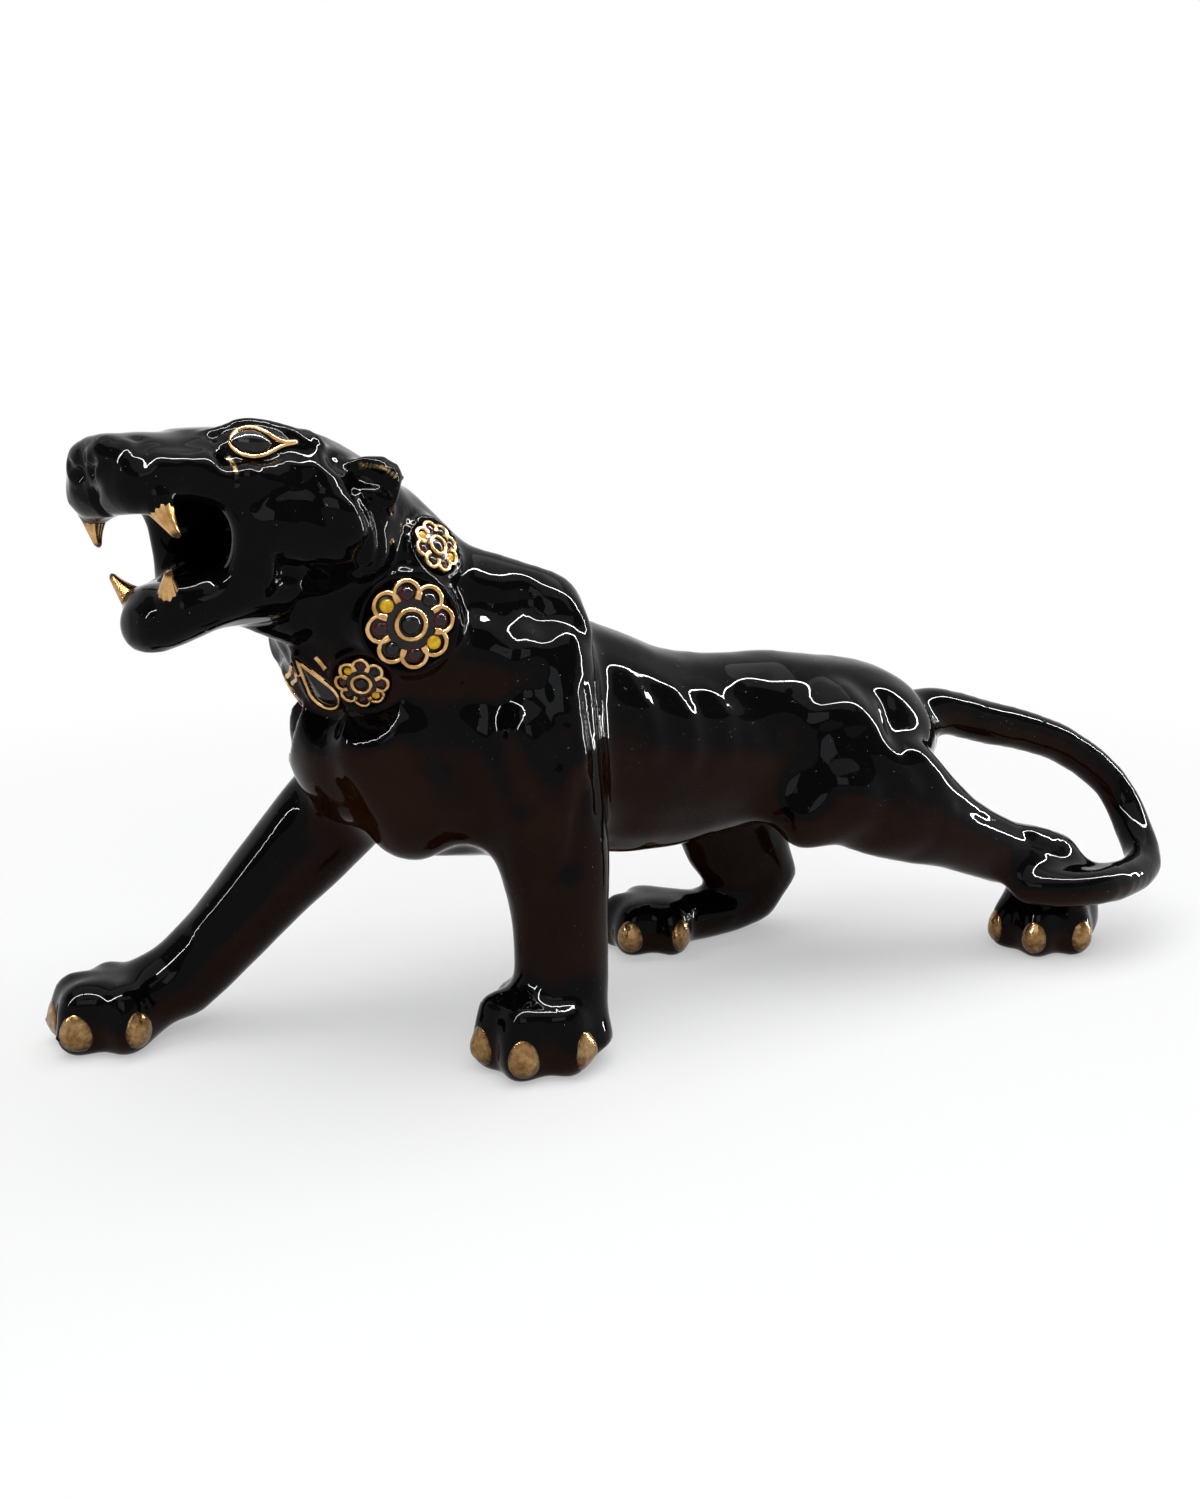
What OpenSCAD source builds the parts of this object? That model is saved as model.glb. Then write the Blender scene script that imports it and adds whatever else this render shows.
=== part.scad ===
// Black glazed ceramic panther on the prowl, head raised and mouth open, with a jewelled collar.
// Head towards -X, left side towards -Y. The four soles stand on Z = 0.

/* [Trunk] */
// Width across the chest behind the shoulders
chest_w = 92; // [84:1:100]
// Width across the loin
loin_w = 74; // [66:1:82]
// Width across the hips
hip_w = 84; // [76:1:92]
// Height of the back between the shoulder blades
withers_z = 178; // [173:1:183]
// Height of the back at the loin
loin_z = 155; // [150:1:160]
// Height of the rump
rump_z = 144; // [139:1:149]
// Height of the chest floor
brisket_z = 74; // [69:1:79]
// Height of the belly
belly_z = 68; // [63:1:73]

/* [Neck] */
// Width across the neck at the collar
neck_w = 80; // [74:1:86]
// Depth of the neck from throat to nape at the collar
neck_depth = 88; // [82:1:94]

/* [Head] */
// Turn of the head towards the left, in degrees
head_turn = 16; // [0:1:18]
// Tilt of the head, its left side up, in degrees
head_tilt = 6; // [0:1:8]
// Width across the cheeks
cheek_w = 84; // [78:1:90]
// Width across the brows
brow_w = 64; // [60:1:68]
// Width of the muzzle
muzzle_w = 54; // [50:1:58]
// Height of the upper lip at the front
lip_z = 222; // [220:1:224]
// Height of the top of the skull above the upper lip
skull_h = 35; // [32:1:38]
// Width of the lower jaw behind the fangs
jaw_w = 46; // [43:1:49]
// Thickness of the chin from lip to underside
chin_h = 23; // [20:1:26]
// Length of an ear
ear_l = 23; // [20:1:26]
// Width of an ear
ear_w = 17; // [14:1:19]

/* [Teeth and eyes] */
// Diameter of a fang at its root
fang_d = 8; // [6.5:0.1:9]
// Length of an upper fang that shows
upper_fang_l = 11; // [9:0.5:13]
// Length of a lower fang that shows
lower_fang_l = 11; // [9:0.5:13]
// Length of the eyeball between its corners
eye_l = 14.5; // [13:0.5:16]
// Height of the eyeball
eye_h = 8; // [7:0.5:9]
// Thickness of the gold line round the eye
eye_line = 1.2; // [1:0.1:1.6]

/* [Legs and paws] */
// Diameter of a foreleg above the wrist
foreleg_d = 35; // [31:1:38]
// Diameter of a hind leg above the hock
hock_d = 31; // [28:1:34]
// Length of a paw
paw_l = 67; // [63:1:71]
// Width of a paw
paw_w = 53; // [50:1:56]
// Height of the toe knuckles of a fore paw
fore_paw_h = 33; // [30:1:35]
// Height of the toe knuckles of a hind paw
hind_paw_h = 29; // [27:1:31]
// Thickness of a toe
toe_d = 22; // [20:0.5:23]
// Length of a claw
claw_l = 15; // [12:0.5:16]
// Width of a claw
claw_w = 9.5; // [8:0.5:10.5]

/* [Tail] */
// Diameter of the tail at its root
tail_d = 24; // [22:1:27]
// Diameter of the tail near its tip
tip_d = 18; // [16:1:20]

/* [Collar] */
// Diameter of a large side medallion
side_medal_d = 33; // [29:0.5:36]
// Diameter of a small medallion
small_medal_d = 20; // [18:0.5:22]
// Height that a medallion stands above the neck
medal_rise = 2.4; // [1.8:0.1:3]
// Depth that a medallion is let into the neck
medal_sink = 6; // [5:0.5:7]
// Length of the throat pendant
pendant_l = 22; // [20:1:24]
// Width of the throat pendant
pendant_w = 12.5; // [11.5:0.5:14]
// Width of the gold lines
gold_w = 1.3; // [1:0.1:1.6]
// Height of the gold lines
gold_h = 0.9; // [0.6:0.1:1.2]
// Diameter of a stone on a large medallion
side_stone_d = 5; // [4:0.1:5.6]
// Diameter of a stone on a small medallion
small_stone_d = 2.8; // [2.4:0.1:3.2]
// Diameter of the gold strands at the throat
strand_d = 2.4; // [1.8:0.1:3]

/* [Hidden] */

// Play between a set piece and its seat
seat_gap = 0.2;
// Height of the top of the skull
skull_z = lip_z + skull_h;
// Middle of the whole figure in plan, moved to the origin
middle = [33.9, -1.5];
// Sides of a ring on the trunk and head, on a limb and on the tail
trunk_sides = 16;
limb_sides = 12;
tail_sides = 12;
// Rings between two stations
ring_steps = 2;
left = -1;
right = 1;
glaze = [0.05, 0.04, 0.04];
gold = [0.78, 0.58, 0.22];
yellow = [0.93, 0.72, 0.10];
red = [0.45, 0.05, 0.08];

function unit(v) = v / norm(v);
function pick(list, i) = list[max(0, min(len(list) - 1, i))];
// Point on the left or the right side of the body
function on_side(side, v) = [v[0], side * v[1], v[2]];

// A station is [x, y, z, half width, reach above, reach below]
function slice(x, top, bottom, width) =
    [x, 0, (top + bottom) / 2, width / 2, (top - bottom) / 2, (top - bottom) / 2];
// Round station of a limb
function ring(x, y, z, r) = [x, y, z, r, r, r];
// Smooth curve through the stations, t from 0 to the last index
function along(st, t) =
    let (i = max(0, min(len(st) - 2, floor(t))), f = t - i,
         a = pick(st, i - 1), b = pick(st, i), c = pick(st, i + 1), d = pick(st, i + 2))
    b + 0.5 * f * ((c - a) + f * ((2 * a - 5 * b + 4 * c - d) + f * (3 * (b - c) + d - a)));
function spot(s) = [s[0], s[1], s[2]];
function heading(st, t) =
    unit(spot(along(st, min(t + 0.1, len(st) - 1))) - spot(along(st, max(t - 0.1, 0))));
// Point of a skin at station t and angle a, pulled in by shrink and pushed along the heading
function skin(st, ref, t, a, shrink = 1, push = 0) =
    let (s = along(st, t), h = heading(st, t), w = unit(ref - h * (ref * h)), u = cross(h, w))
    spot(s) + h * push + shrink * (w * s[3] * cos(a) + u * (sin(a) > 0 ? s[4] : s[5]) * sin(a));
// Outward direction of a skin at station t and angle a
function outward(st, ref, t, a) =
    unit(cross(skin(st, ref, t, a + 2) - skin(st, ref, t, a - 2),
               skin(st, ref, t + 0.1, a) - skin(st, ref, t - 0.1, a)));

// Closed skin through the stations with a domed start and end
module loft(st, ref, sides, start = 0, end = 0) {
    last = len(st) - 1;
    dome = [30, 60, 80];
    rings = concat(
        [for (k = [2, 1, 0]) if (start > 0) [0, cos(dome[k]), -start * sin(dome[k])]],
        [for (k = [0 : last * ring_steps]) [k / ring_steps, 1, 0]],
        [for (k = [0, 1, 2]) if (end > 0) [last, cos(dome[k]), end * sin(dome[k])]]);
    n = len(rings);
    points = [for (r = rings) for (i = [0 : sides - 1])
        skin(st, ref, r[0], 360 * i / sides, r[1], r[2])];
    walls = [for (j = [0 : n - 2]) for (i = [0 : sides - 1]) let (k = (i + 1) % sides)
        each [[j * sides + i, (j + 1) * sides + i, (j + 1) * sides + k],
              [j * sides + i, (j + 1) * sides + k, j * sides + k]]];
    first_cap = [for (i = [1 : sides - 2]) [0, i, i + 1]];
    last_cap = [for (i = [1 : sides - 2]) (n - 1) * sides * [1, 1, 1] + [0, i + 1, i]];
    polyhedron(points, concat(walls, first_cap, last_cap), convexity = 6);
}

// Rounded lump between two points with their radii
module lump(a, ra, b, rb, fn = 12) {
    hull() {
        translate(a) sphere(ra, $fn = fn);
        translate(b) sphere(rb, $fn = fn);
    }
}

// Sets a piece at a point, its Z axis along normal and its X axis near along
module set_at(at, normal, along) {
    z = unit(normal);
    x = unit(along - z * (along * z));
    y = cross(z, x);
    multmatrix([[x[0], y[0], z[0], at[0]], [x[1], y[1], z[1], at[1]], [x[2], y[2], z[2], at[2]],
        [0, 0, 0, 1]]) children();
}

// Moves the whole figure to its origin
module place() {
    translate([-middle[0], -middle[1], 0]) children();
}

// The head and its pieces turn together on the neck
neck_pivot = [-112, 0, lip_z];
module turned() {
    translate(neck_pivot) rotate([0, 0, head_turn]) rotate([-head_tilt, 0, 0]) translate(-neck_pivot)
        children();
}

back_ref = [0, 1, 0];
front_ref = [0, -1, 0];

// Trunk from the chest to the root of the tail
trunk = [
    slice(-114, withers_z - 10, brisket_z + 18, chest_w - 18),
    slice(-92, withers_z + 2, brisket_z + 4, chest_w - 4),
    slice(-58, withers_z + 6, brisket_z, chest_w),
    slice(-28, withers_z - 2, brisket_z - 2, chest_w - 2),
    slice(10, loin_z + 6, belly_z - 2, loin_w + 10),
    slice(46, loin_z - 1, belly_z, loin_w),
    slice(80, loin_z - 2, belly_z + 3, loin_w),
    slice(110, rump_z + 5, belly_z + 6, hip_w - 4),
    slice(138, rump_z - 1, belly_z + 6, hip_w),
    slice(158, rump_z - 13, belly_z + 10, hip_w - 18),
    slice(171, rump_z - 25, belly_z + 20, hip_w - 42)
];

// Neck from between the shoulders to the back of the skull
neck = [
    [-45, 0, withers_z - 45, neck_w / 2 + 3, neck_depth / 2 + 4, neck_depth / 2 + 5],
    [-82, 0, (withers_z + lip_z) / 2 - 42, neck_w / 2 + 2, neck_depth / 2 + 1, neck_depth / 2 + 4],
    [-109, 0, lip_z - 35, neck_w / 2, neck_depth / 2 - 2, neck_depth / 2 + 1],
    [-126, 0, lip_z - 15, neck_w / 2 - 3, neck_depth / 2 - 5, neck_depth / 2 - 8]
];

// Lengths round the collar become angles by the mean radius of the neck
neck_r = (neck_w + neck_depth) / 4;
function around(arc) = arc / neck_r * 180 / PI;
// Gaps round the collar beside the nape medallion, the throat medallion and the pendant; the throat
// medallion also sits lower along the neck, so that its own gap may close
nape_gap = 3.5;
throat_gap = -0.5;
pendant_gap = 2;
nape_arc = (side_medal_d + small_medal_d) / 2 + nape_gap;
throat_arc = (side_medal_d + small_medal_d) / 2 + throat_gap;
pendant_arc = throat_arc + (small_medal_d + pendant_w) / 2 + pendant_gap;
// Seats round the neck: station, angle from the side towards the nape, plate and stone diameter
side_turn = -22;
nape_seat = [2.24, side_turn + around(nape_arc), small_medal_d, small_stone_d];
side_seat = [1.89, side_turn, side_medal_d, side_stone_d];
throat_seat = [1.71, side_turn - around(throat_arc), small_medal_d, small_stone_d];
pendant_seat = [1.76, side_turn - around(pendant_arc)];
// The collar follows the turn of the head
collar_turn = head_turn;
function round_neck(a, side) = (side == left ? a : 180 - a) + collar_turn;
// Width of the glazed border round a medallion
border = 2;

// Puts a piece on its seat, Z outwards and X along the neck
module seated(seat, side) {
    a = round_neck(seat[1], side);
    set_at(skin(neck, front_ref, seat[0], a), outward(neck, front_ref, seat[0], a),
        heading(neck, seat[0])) children();
}

module breast(side) {
    lump(on_side(side, [-114, 21, withers_z - 46]), 25, on_side(side, [-103, 24, brisket_z + 33]), 23);
}
// Ridge of muscle from the nape to the shoulder blade
module crest(side) {
    lump(on_side(side, [-80, 10, withers_z + 10]), 21, on_side(side, [-44, 24, withers_z + 6]), 13);
}
module collar_border(seat, side) {
    hull() seated(seat, side) scale([1, 1, 0.22]) sphere(seat[2] / 2 + border, $fn = 10);
}
module trunk_form() {
    loft(trunk, back_ref, trunk_sides, start = 31, end = 8);
    loft(neck, front_ref, trunk_sides, end = 14);
    for (side = [left, right]) {
        breast(side);
        crest(side);
        for (seat = [nape_seat, side_seat, throat_seat]) collar_border(seat, side);
    }
}

module torso() {
    color(glaze) place() difference() {
        trunk_form();
        for (side = [left, right]) for (seat = [nape_seat, side_seat, throat_seat])
            seated(seat, side) translate([0, 0, -medal_sink - seat_gap])
                cylinder(h = 3 * medal_sink, d = seat[2] + 4 * seat_gap, $fn = 16);
        seated(pendant_seat, left) translate([0, 0, -medal_sink - seat_gap])
            drop(3 * medal_sink, pendant_l + 4 * seat_gap, pendant_w + 4 * seat_gap, 12);
        strand_lines(strand_d + 4 * seat_gap, 5);
    }
}

// Head from the nape to the nose, before it turns
head_line = [
    slice(-97, skull_z - 37, lip_z - 35, cheek_w - 30),
    slice(-112, skull_z - 23, lip_z - 40, cheek_w - 18),
    slice(-131, skull_z - 11, lip_z - 40, cheek_w - 9),
    slice(-150, skull_z - 3, lip_z - 37, cheek_w - 4),
    slice(-167, skull_z, lip_z - 29, brow_w + 10),
    slice(-184, skull_z - 2, lip_z - 8, brow_w - 2),
    slice(-198, skull_z - 5, lip_z - 4, muzzle_w + 2),
    slice(-211, skull_z - 5, lip_z - 2, muzzle_w),
    slice(-219, skull_z - 8, lip_z - 1, muzzle_w - 8)
];
// Open mouth, from in front of the lips to the back of the throat
mouth_hollow = [
    [-254, 0, lip_z - 17, 46, 13, 20],
    [-221, 0, lip_z - 14, 44, 12, 15],
    [-209, 0, lip_z - 11, 42, 12, 14],
    [-194, 0, lip_z - 6, 41, 16, 12],
    [-186, 0, lip_z - 4, 22, 15, 11],
    [-168, 0, lip_z - 5, 16, 10, 9]
];
jaw_line = [
    [-163, 0, lip_z - 28, jaw_w / 2 + 8, 10, 13],
    [-186, 0, lip_z - 29, jaw_w / 2 + 7, 12, 12],
    [-200, 0, lip_z - 33, jaw_w / 2 + 1, 12, 12],
    [-209, 0, lip_z - 36, jaw_w / 2 - 5, 12, chin_h / 2],
    [-212, 0, lip_z - 36, jaw_w / 2 - 10, 9, chin_h / 2 - 2]
];
upper_fang_root = [-212.5, muzzle_w / 2 - 2.5, lip_z + 1.5];
upper_fang_lean = [0.12, 0.45, -1];
lower_fang_root = [-207.5, jaw_w / 2 - 8.5, lip_z - 26];
lower_fang_lean = [-0.6, 0.85, 1];
eye_centre = [-178.5, brow_w / 2 - 4, skull_z - 11.5];
eye_normal = [-0.35, 0.85, 0.35];

module mouth_form() {
    loft(mouth_hollow, front_ref, 16, end = 8);
}
module head_side(side) {
    brow_front = on_side(side, [-197, 12, skull_z - 18]);
    brow_top = on_side(side, [-175, brow_w / 2 - 11, skull_z - 9.5]);
    brow_back = on_side(side, [-155, brow_w / 2 - 5, skull_z - 16]);
    lump(brow_front, 7, brow_top, 7);
    lump(brow_top, 7, brow_back, 9);
    // Web of the mouth corner
    lump(on_side(side, [-185, brow_w / 2 - 6, lip_z + 8]), 9,
        on_side(side, [-182, jaw_w / 2 + 4, lip_z - 22]), 9);
    // Upper lip pad
    lump(on_side(side, [-211.5, muzzle_w / 2 - 13, lip_z + 11]), 12.5,
        on_side(side, [-201, muzzle_w / 2 - 12, lip_z + 13]), 12.5);
    // Cheek
    lump(on_side(side, [-172, cheek_w / 2 - 18, lip_z - 2]), 17,
        on_side(side, [-148, cheek_w / 2 - 16, lip_z - 7]), 18);
    // Ruff behind the cheek
    lump(on_side(side, [-135, cheek_w / 2 - 16, lip_z - 16]), 14,
        on_side(side, [-132, cheek_w / 2 - 16, lip_z]), 12);
}
module head_form() {
    loft(head_line, front_ref, trunk_sides, start = 10, end = 6);
    for (side = [left, right]) head_side(side);
    // Nose
    lump([-219, -6, skull_z - 13], 7.5, [-219, 6, skull_z - 13], 7.5);
    // Throat
    lump([-170, 0, lip_z - 29], 12, [-148, 0, lip_z - 31], 19);
}

// Outline of an eye with pointed corners
module almond(l, h, fn = 64) {
    r = (l * l / 4 + h * h / 4) / h;
    intersection() {
        translate([0, h / 2 - r]) circle(r, $fn = fn);
        translate([0, r - h / 2]) circle(r, $fn = fn);
    }
}
module eye_seat(side) {
    set_at(on_side(side, eye_centre), on_side(side, eye_normal), [1, 0, 0]) children();
}
eye_sink = 5;
eye_rise = 2.2;
// Height of the gold line round the eye
line_rise = 1.6;
module eye_ball(side) {
    eye_seat(side) intersection() {
        translate([0, 0, -eye_sink]) linear_extrude(eye_sink + eye_rise) almond(eye_l, eye_h);
        translate([0, 0, eye_rise - eye_l]) sphere(eye_l, $fn = 64);
    }
}
module eye_line_form(side) {
    eye_seat(side) translate([0, 0, -eye_sink]) linear_extrude(eye_sink + line_rise) difference() {
        union() {
            almond(eye_l + 4 * eye_line, eye_h + 2 * eye_line);
            translate([eye_l * 0.55, 0]) almond(eye_l * 0.9, 2 * eye_line);
        }
        almond(eye_l + seat_gap, eye_h + seat_gap);
    }
}
module eye_pocket(side) {
    play = 3 * seat_gap;
    eye_seat(side) translate([0, 0, -eye_sink - seat_gap]) linear_extrude(4 * eye_sink) {
        almond(eye_l + 4 * eye_line + play, eye_h + 2 * eye_line + play, 20);
        translate([eye_l * 0.55, 0]) almond(eye_l * 0.9 + play, 2 * eye_line + play, 20);
    }
}

// Fang with its root below Z = 0
fang_root = 5;
// Part of a fang's length that is left below its blunted tip
blunt = 0.95;
module fang(l, play = 0, fn = 32) {
    r = fang_d / 2 + play;
    bow = (l * l + r * r) / (2 * r);
    rotate_extrude($fn = fn) {
        translate([0, -fang_root - play]) square([r, fang_root + play]);
        intersection() {
            translate([r - bow, 0]) circle(bow, $fn = 3 * fn);
            square([r, blunt * l]);
        }
    }
}
module upper_fang_form(side, play = 0, fn = 32) {
    set_at(on_side(side, upper_fang_root), on_side(side, upper_fang_lean), [1, 0, 0])
        fang(upper_fang_l, play, fn);
}
module lower_fang_form(side, play = 0, fn = 32) {
    set_at(on_side(side, lower_fang_root), on_side(side, lower_fang_lean), [1, 0, 0])
        fang(lower_fang_l, play, fn);
}

module head() {
    color(glaze) place() difference() {
        turned() difference() {
            head_form();
            mouth_form();
            for (side = [left, right]) {
                eye_pocket(side);
                upper_fang_form(side, 3 * seat_gap, 8);
            }
        }
        trunk_form();
        // Room for the medallions at the nape
        for (side = [left, right]) seated(nape_seat, side) translate([0, 0, -medal_sink])
            cylinder(h = 3 * medal_sink, d = nape_seat[2] + 2 * border, $fn = 16);
    }
}
module lower_jaw() {
    color(glaze) place() difference() {
        turned() difference() {
            loft(jaw_line, front_ref, 16, end = 5);
            mouth_form();
            head_form();
            for (side = [left, right]) lower_fang_form(side, 3 * seat_gap, 8);
        }
        trunk_form();
    }
}
// An ear is a cup laid back on the side of the skull, open to the front and outwards
ear_at = [-132, cheek_w / 2 - 5, lip_z + 10];
ear_facing = [-0.4, 0.85, 0.35];
ear_back = [1, 0.25, -0.35];
ear_deep = 11;
// Thickness of the rim of an ear
ear_rim = 3;
module egg(size, fn = 16) {
    scale(size / 2) sphere(1, $fn = fn);
}
module ear_form(side) {
    set_at(on_side(side, ear_at), on_side(side, ear_facing), on_side(side, ear_back)) difference() {
        egg([ear_l, ear_w, ear_deep]);
        translate([-1, 0, ear_deep / 2]) egg([ear_l - 2 * ear_rim, ear_w - 2 * ear_rim, ear_deep]);
    }
}
module ear(side) {
    color(glaze) place() difference() {
        turned() difference() {
            ear_form(side);
            head_form();
        }
        trunk_form();
    }
}
module ear_left() { ear(left); }
module ear_right() { ear(right); }

foreleg_left_line = [
    [-40, -24, 184, 12, 16, 12],
    [-48, -33, 162, 19, 24, 20],
    [-55, -40, 136, 23, 26, 25],
    [-56, -45, 111, 23, 26, 25],
    [-53, -48, 86, 20, 25.5, 23],
    [-52, -50, 62, foreleg_d / 2 + 1, foreleg_d / 2 + 3, foreleg_d / 2 + 3],
    [-52, -52, 38, foreleg_d / 2, foreleg_d / 2 + 3, foreleg_d / 2 + 2],
    [-53, -53, 18, foreleg_d / 2 + 4, foreleg_d / 2 + 6, foreleg_d / 2 + 2],
    [-52, -56, 4, foreleg_d / 2 + 6, foreleg_d / 2 + 4, foreleg_d / 2 + 2]
];
foreleg_right_line = [
    [-43, 24, 175, 12, 14, 14],
    [-62, 34, 150, 19, 25, 20],
    [-85, 40, 121, 23, 26, 25],
    [-113, 43, 91, 21, 24, 24],
    [-143, 47, 61, 19, 20, 20],
    ring(-165, 50, 38, foreleg_d / 2),
    ring(-183, 53, 22, foreleg_d / 2),
    [-198, 53, 20, foreleg_d / 2, 14, 15]
];
hindleg_left_line = [
    [118, -26, 122, 14, 30, 26],
    [110, -36, 103, 20, 40, 30],
    [130, -42, 82, 20, 28, 30],
    [162, -44, 65, 18, 18, 20],
    [196, -45, 52, hock_d / 2, hock_d / 2 + 2, hock_d / 2 - 1],
    [226, -45, 42, hock_d / 2, hock_d / 2 + 3, hock_d / 2 + 1],
    [227, -46, 22, hock_d / 2 + 5, hock_d / 2 + 12, hock_d / 2 + 12],
    [228, -46, 4, hock_d / 2 + 4, hock_d / 2 + 8, hock_d / 2 + 12]
];
hindleg_right_line = [
    [122, 26, 122, 14, 30, 26],
    [102, 36, 99, 20, 38, 34],
    [90, 42, 75, 20, 31, 31],
    [98, 44, 50, 18, 28, 27],
    [112, 45, 28, hock_d / 2, hock_d / 2 + 9, hock_d / 2 + 8],
    [96, 46, 15, hock_d / 2, 12, 15],
    [68, 46, 13, hock_d / 2 + 2, 12, 14],
    [56, 46, 12, hock_d / 2 + 2, 11, 12]
];
tail_line = [
    ring(150, 0, 113, tail_d / 2),
    ring(184, -1, 115, tail_d / 2),
    ring(220, -4, 106, tail_d / 2 - 1),
    ring(262, -11, 93, tail_d / 2 - 2),
    ring(291, -22, 71, tip_d / 2),
    ring(293, -38, 49, tip_d / 2),
    ring(281, -57, 36, tip_d / 2),
    ring(254, -69, 35, tip_d / 2),
    ring(228, -75, 36, tip_d / 2),
    ring(208, -72, 37, tip_d / 2),
    ring(194, -64, 38, tip_d / 2 - 1)
];

// Where the paws stand, the height of their knuckles and their turn
fore_left_at = [-59, -53, fore_paw_h, -14];
fore_right_at = [-204.5, 54, fore_paw_h - 3, 0];
hind_left_at = [226.5, -48, hind_paw_h, -8];
hind_right_at = [56, 47, hind_paw_h - 2, 0];

// Toes fan round the front of the paw: angle from straight ahead
toe_angles = [-78, -28, 28, 78];
toe_r = toe_d / 2;
// Depth that a toe is flattened against the floor
toe_flat = 1.8;
// Set-back of a knuckle behind its toe tip
knuckle_back = 1.5;
function toe_way(a) = [-cos(a), sin(a), 0];
function toe_tip(at, a, back = 0) =
    let (x = -(paw_l / 2 - toe_r - back) * cos(a), y = (paw_w / 2 - toe_r - back) * sin(a), t = -at[3])
    [at[0] + x * cos(t) - y * sin(t), at[1] + x * sin(t) + y * cos(t), toe_r - toe_flat];
module toe(at, a) {
    hull() {
        translate(toe_tip(at, a)) sphere(toe_r, $fn = 10);
        translate(toe_tip(at, a, knuckle_back) + [0, 0, at[2] + toe_flat - toe_d])
            sphere(toe_r, $fn = 10);
        translate([at[0] + paw_l / 8, at[1], at[2] / 2]) sphere(at[2] / 2, $fn = 10);
    }
}
module paw(at) {
    for (a = toe_angles) toe(at, a);
}
// Height of the foot of a claw, part of its width that is let in, and its lean
claw_foot = 4;
claw_sunk = 0.42;
claw_lean = 0.2;
module claw_set(at, play = 0, fn = 24) {
    for (a = toe_angles) {
        out = toe_way(a + at[3]);
        lift = claw_l / 2 + claw_foot + toe_flat - toe_r;
        set_at(toe_tip(at, a) + out * (toe_r - claw_sunk * claw_w) + [0, 0, lift],
            [0, 0, 1] - claw_lean * out, out) capsule(claw_l + 2 * play, claw_w / 2 + play, fn);
    }
}
// Upright rod with round ends, centred
module capsule(l, r, fn) {
    rotate_extrude($fn = fn) intersection() {
        union() {
            for (end = [-1, 1]) translate([0, end * (l / 2 - r)]) circle(r, $fn = fn);
            square([2 * r, l - 2 * r], center = true);
        }
        translate([0, -l]) square([2 * r, 2 * l]);
    }
}
module below_floor() {
    span = 20 * paw_l;
    translate([-span / 2, -span / 2, -paw_l]) cube([span, span, paw_l]);
}
module foreleg_left_form() {
    loft(foreleg_left_line, front_ref, limb_sides, start = 8);
    paw(fore_left_at);
}
module foreleg_right_form() {
    loft(foreleg_right_line, front_ref, limb_sides, start = 8, end = 10);
    paw(fore_right_at);
}
module hindleg_left_form() {
    loft(hindleg_left_line, front_ref, limb_sides, start = 8);
    lump([100, -36, 90], 24, [80, -38, 81], 14);
    paw(hind_left_at);
}
module hindleg_right_form() {
    loft(hindleg_right_line, front_ref, limb_sides, start = 8, end = 10);
    paw(hind_right_at);
}
// A limb stands on its sole, is coped to the trunk and has its claws let in
module limb(at) {
    color(glaze) place() difference() {
        children();
        trunk_form();
        claw_set(at, 5 * seat_gap, 8);
        below_floor();
    }
}
module foreleg_left() { limb(fore_left_at) foreleg_left_form(); }
module foreleg_right() { limb(fore_right_at) foreleg_right_form(); }
module hindleg_left() { limb(hind_left_at) hindleg_left_form(); }
module hindleg_right() { limb(hind_right_at) hindleg_right_form(); }
module tail() {
    color(glaze) place() difference() {
        loft(tail_line, back_ref, tail_sides, end = 9);
        trunk_form();
        hindleg_left_form();
    }
}

module upper_fang_left() { color(gold) place() turned() upper_fang_form(left); }
module upper_fang_right() { color(gold) place() turned() upper_fang_form(right); }
module lower_fang_left() { color(gold) place() turned() lower_fang_form(left); }
module lower_fang_right() { color(gold) place() turned() lower_fang_form(right); }
module eye_left() { color(glaze) place() turned() eye_ball(left); }
module eye_right() { color(glaze) place() turned() eye_ball(right); }
module eye_line_left() { color(gold) place() turned() eye_line_form(left); }
module eye_line_right() { color(gold) place() turned() eye_line_form(right); }

// Flower medallion: lobes round a centre, gold lines between the stones
lobes = 8;
yellow_lobes = [0, 4];
red_lobes = [1, 3, 5, 7];
black_lobes = [2, 6];
// Turn of the first lobe
first_lobe = 10;
// Fall of the domed face from its middle to its edge
dome_drop = 1.1;
// Depth that gold lines and stones are let into the face
let_in = 1.2;
// Height of a stone
stone_h = 3.2;
// Distance of the lobe middles from the centre, as a part of the radius
lobe_reach = 0.7;
inlay_z = medal_rise - dome_drop - let_in;
function lobe_circle(d) = lobe_reach * d / 2;
function lobe_r(d) = d / 2 - lobe_circle(d);
function centre_r(d) = lobe_circle(d) - lobe_r(d) + gold_w / 2;
function centre_stone_d(d) = 2 * (centre_r(d) - gold_w - seat_gap);

// Ball whose top is the domed face of a medallion, raised by lift
module dome_ball(d, lift = 0) {
    r = (d * d / 4 + dome_drop * dome_drop) / (2 * dome_drop);
    translate([0, 0, medal_rise - r]) sphere(r + lift, $fn = 240);
}
module at_lobes(d, list) {
    for (k = list) rotate(first_lobe + 360 * k / lobes) translate([lobe_circle(d), 0, 0]) children();
}
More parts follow.
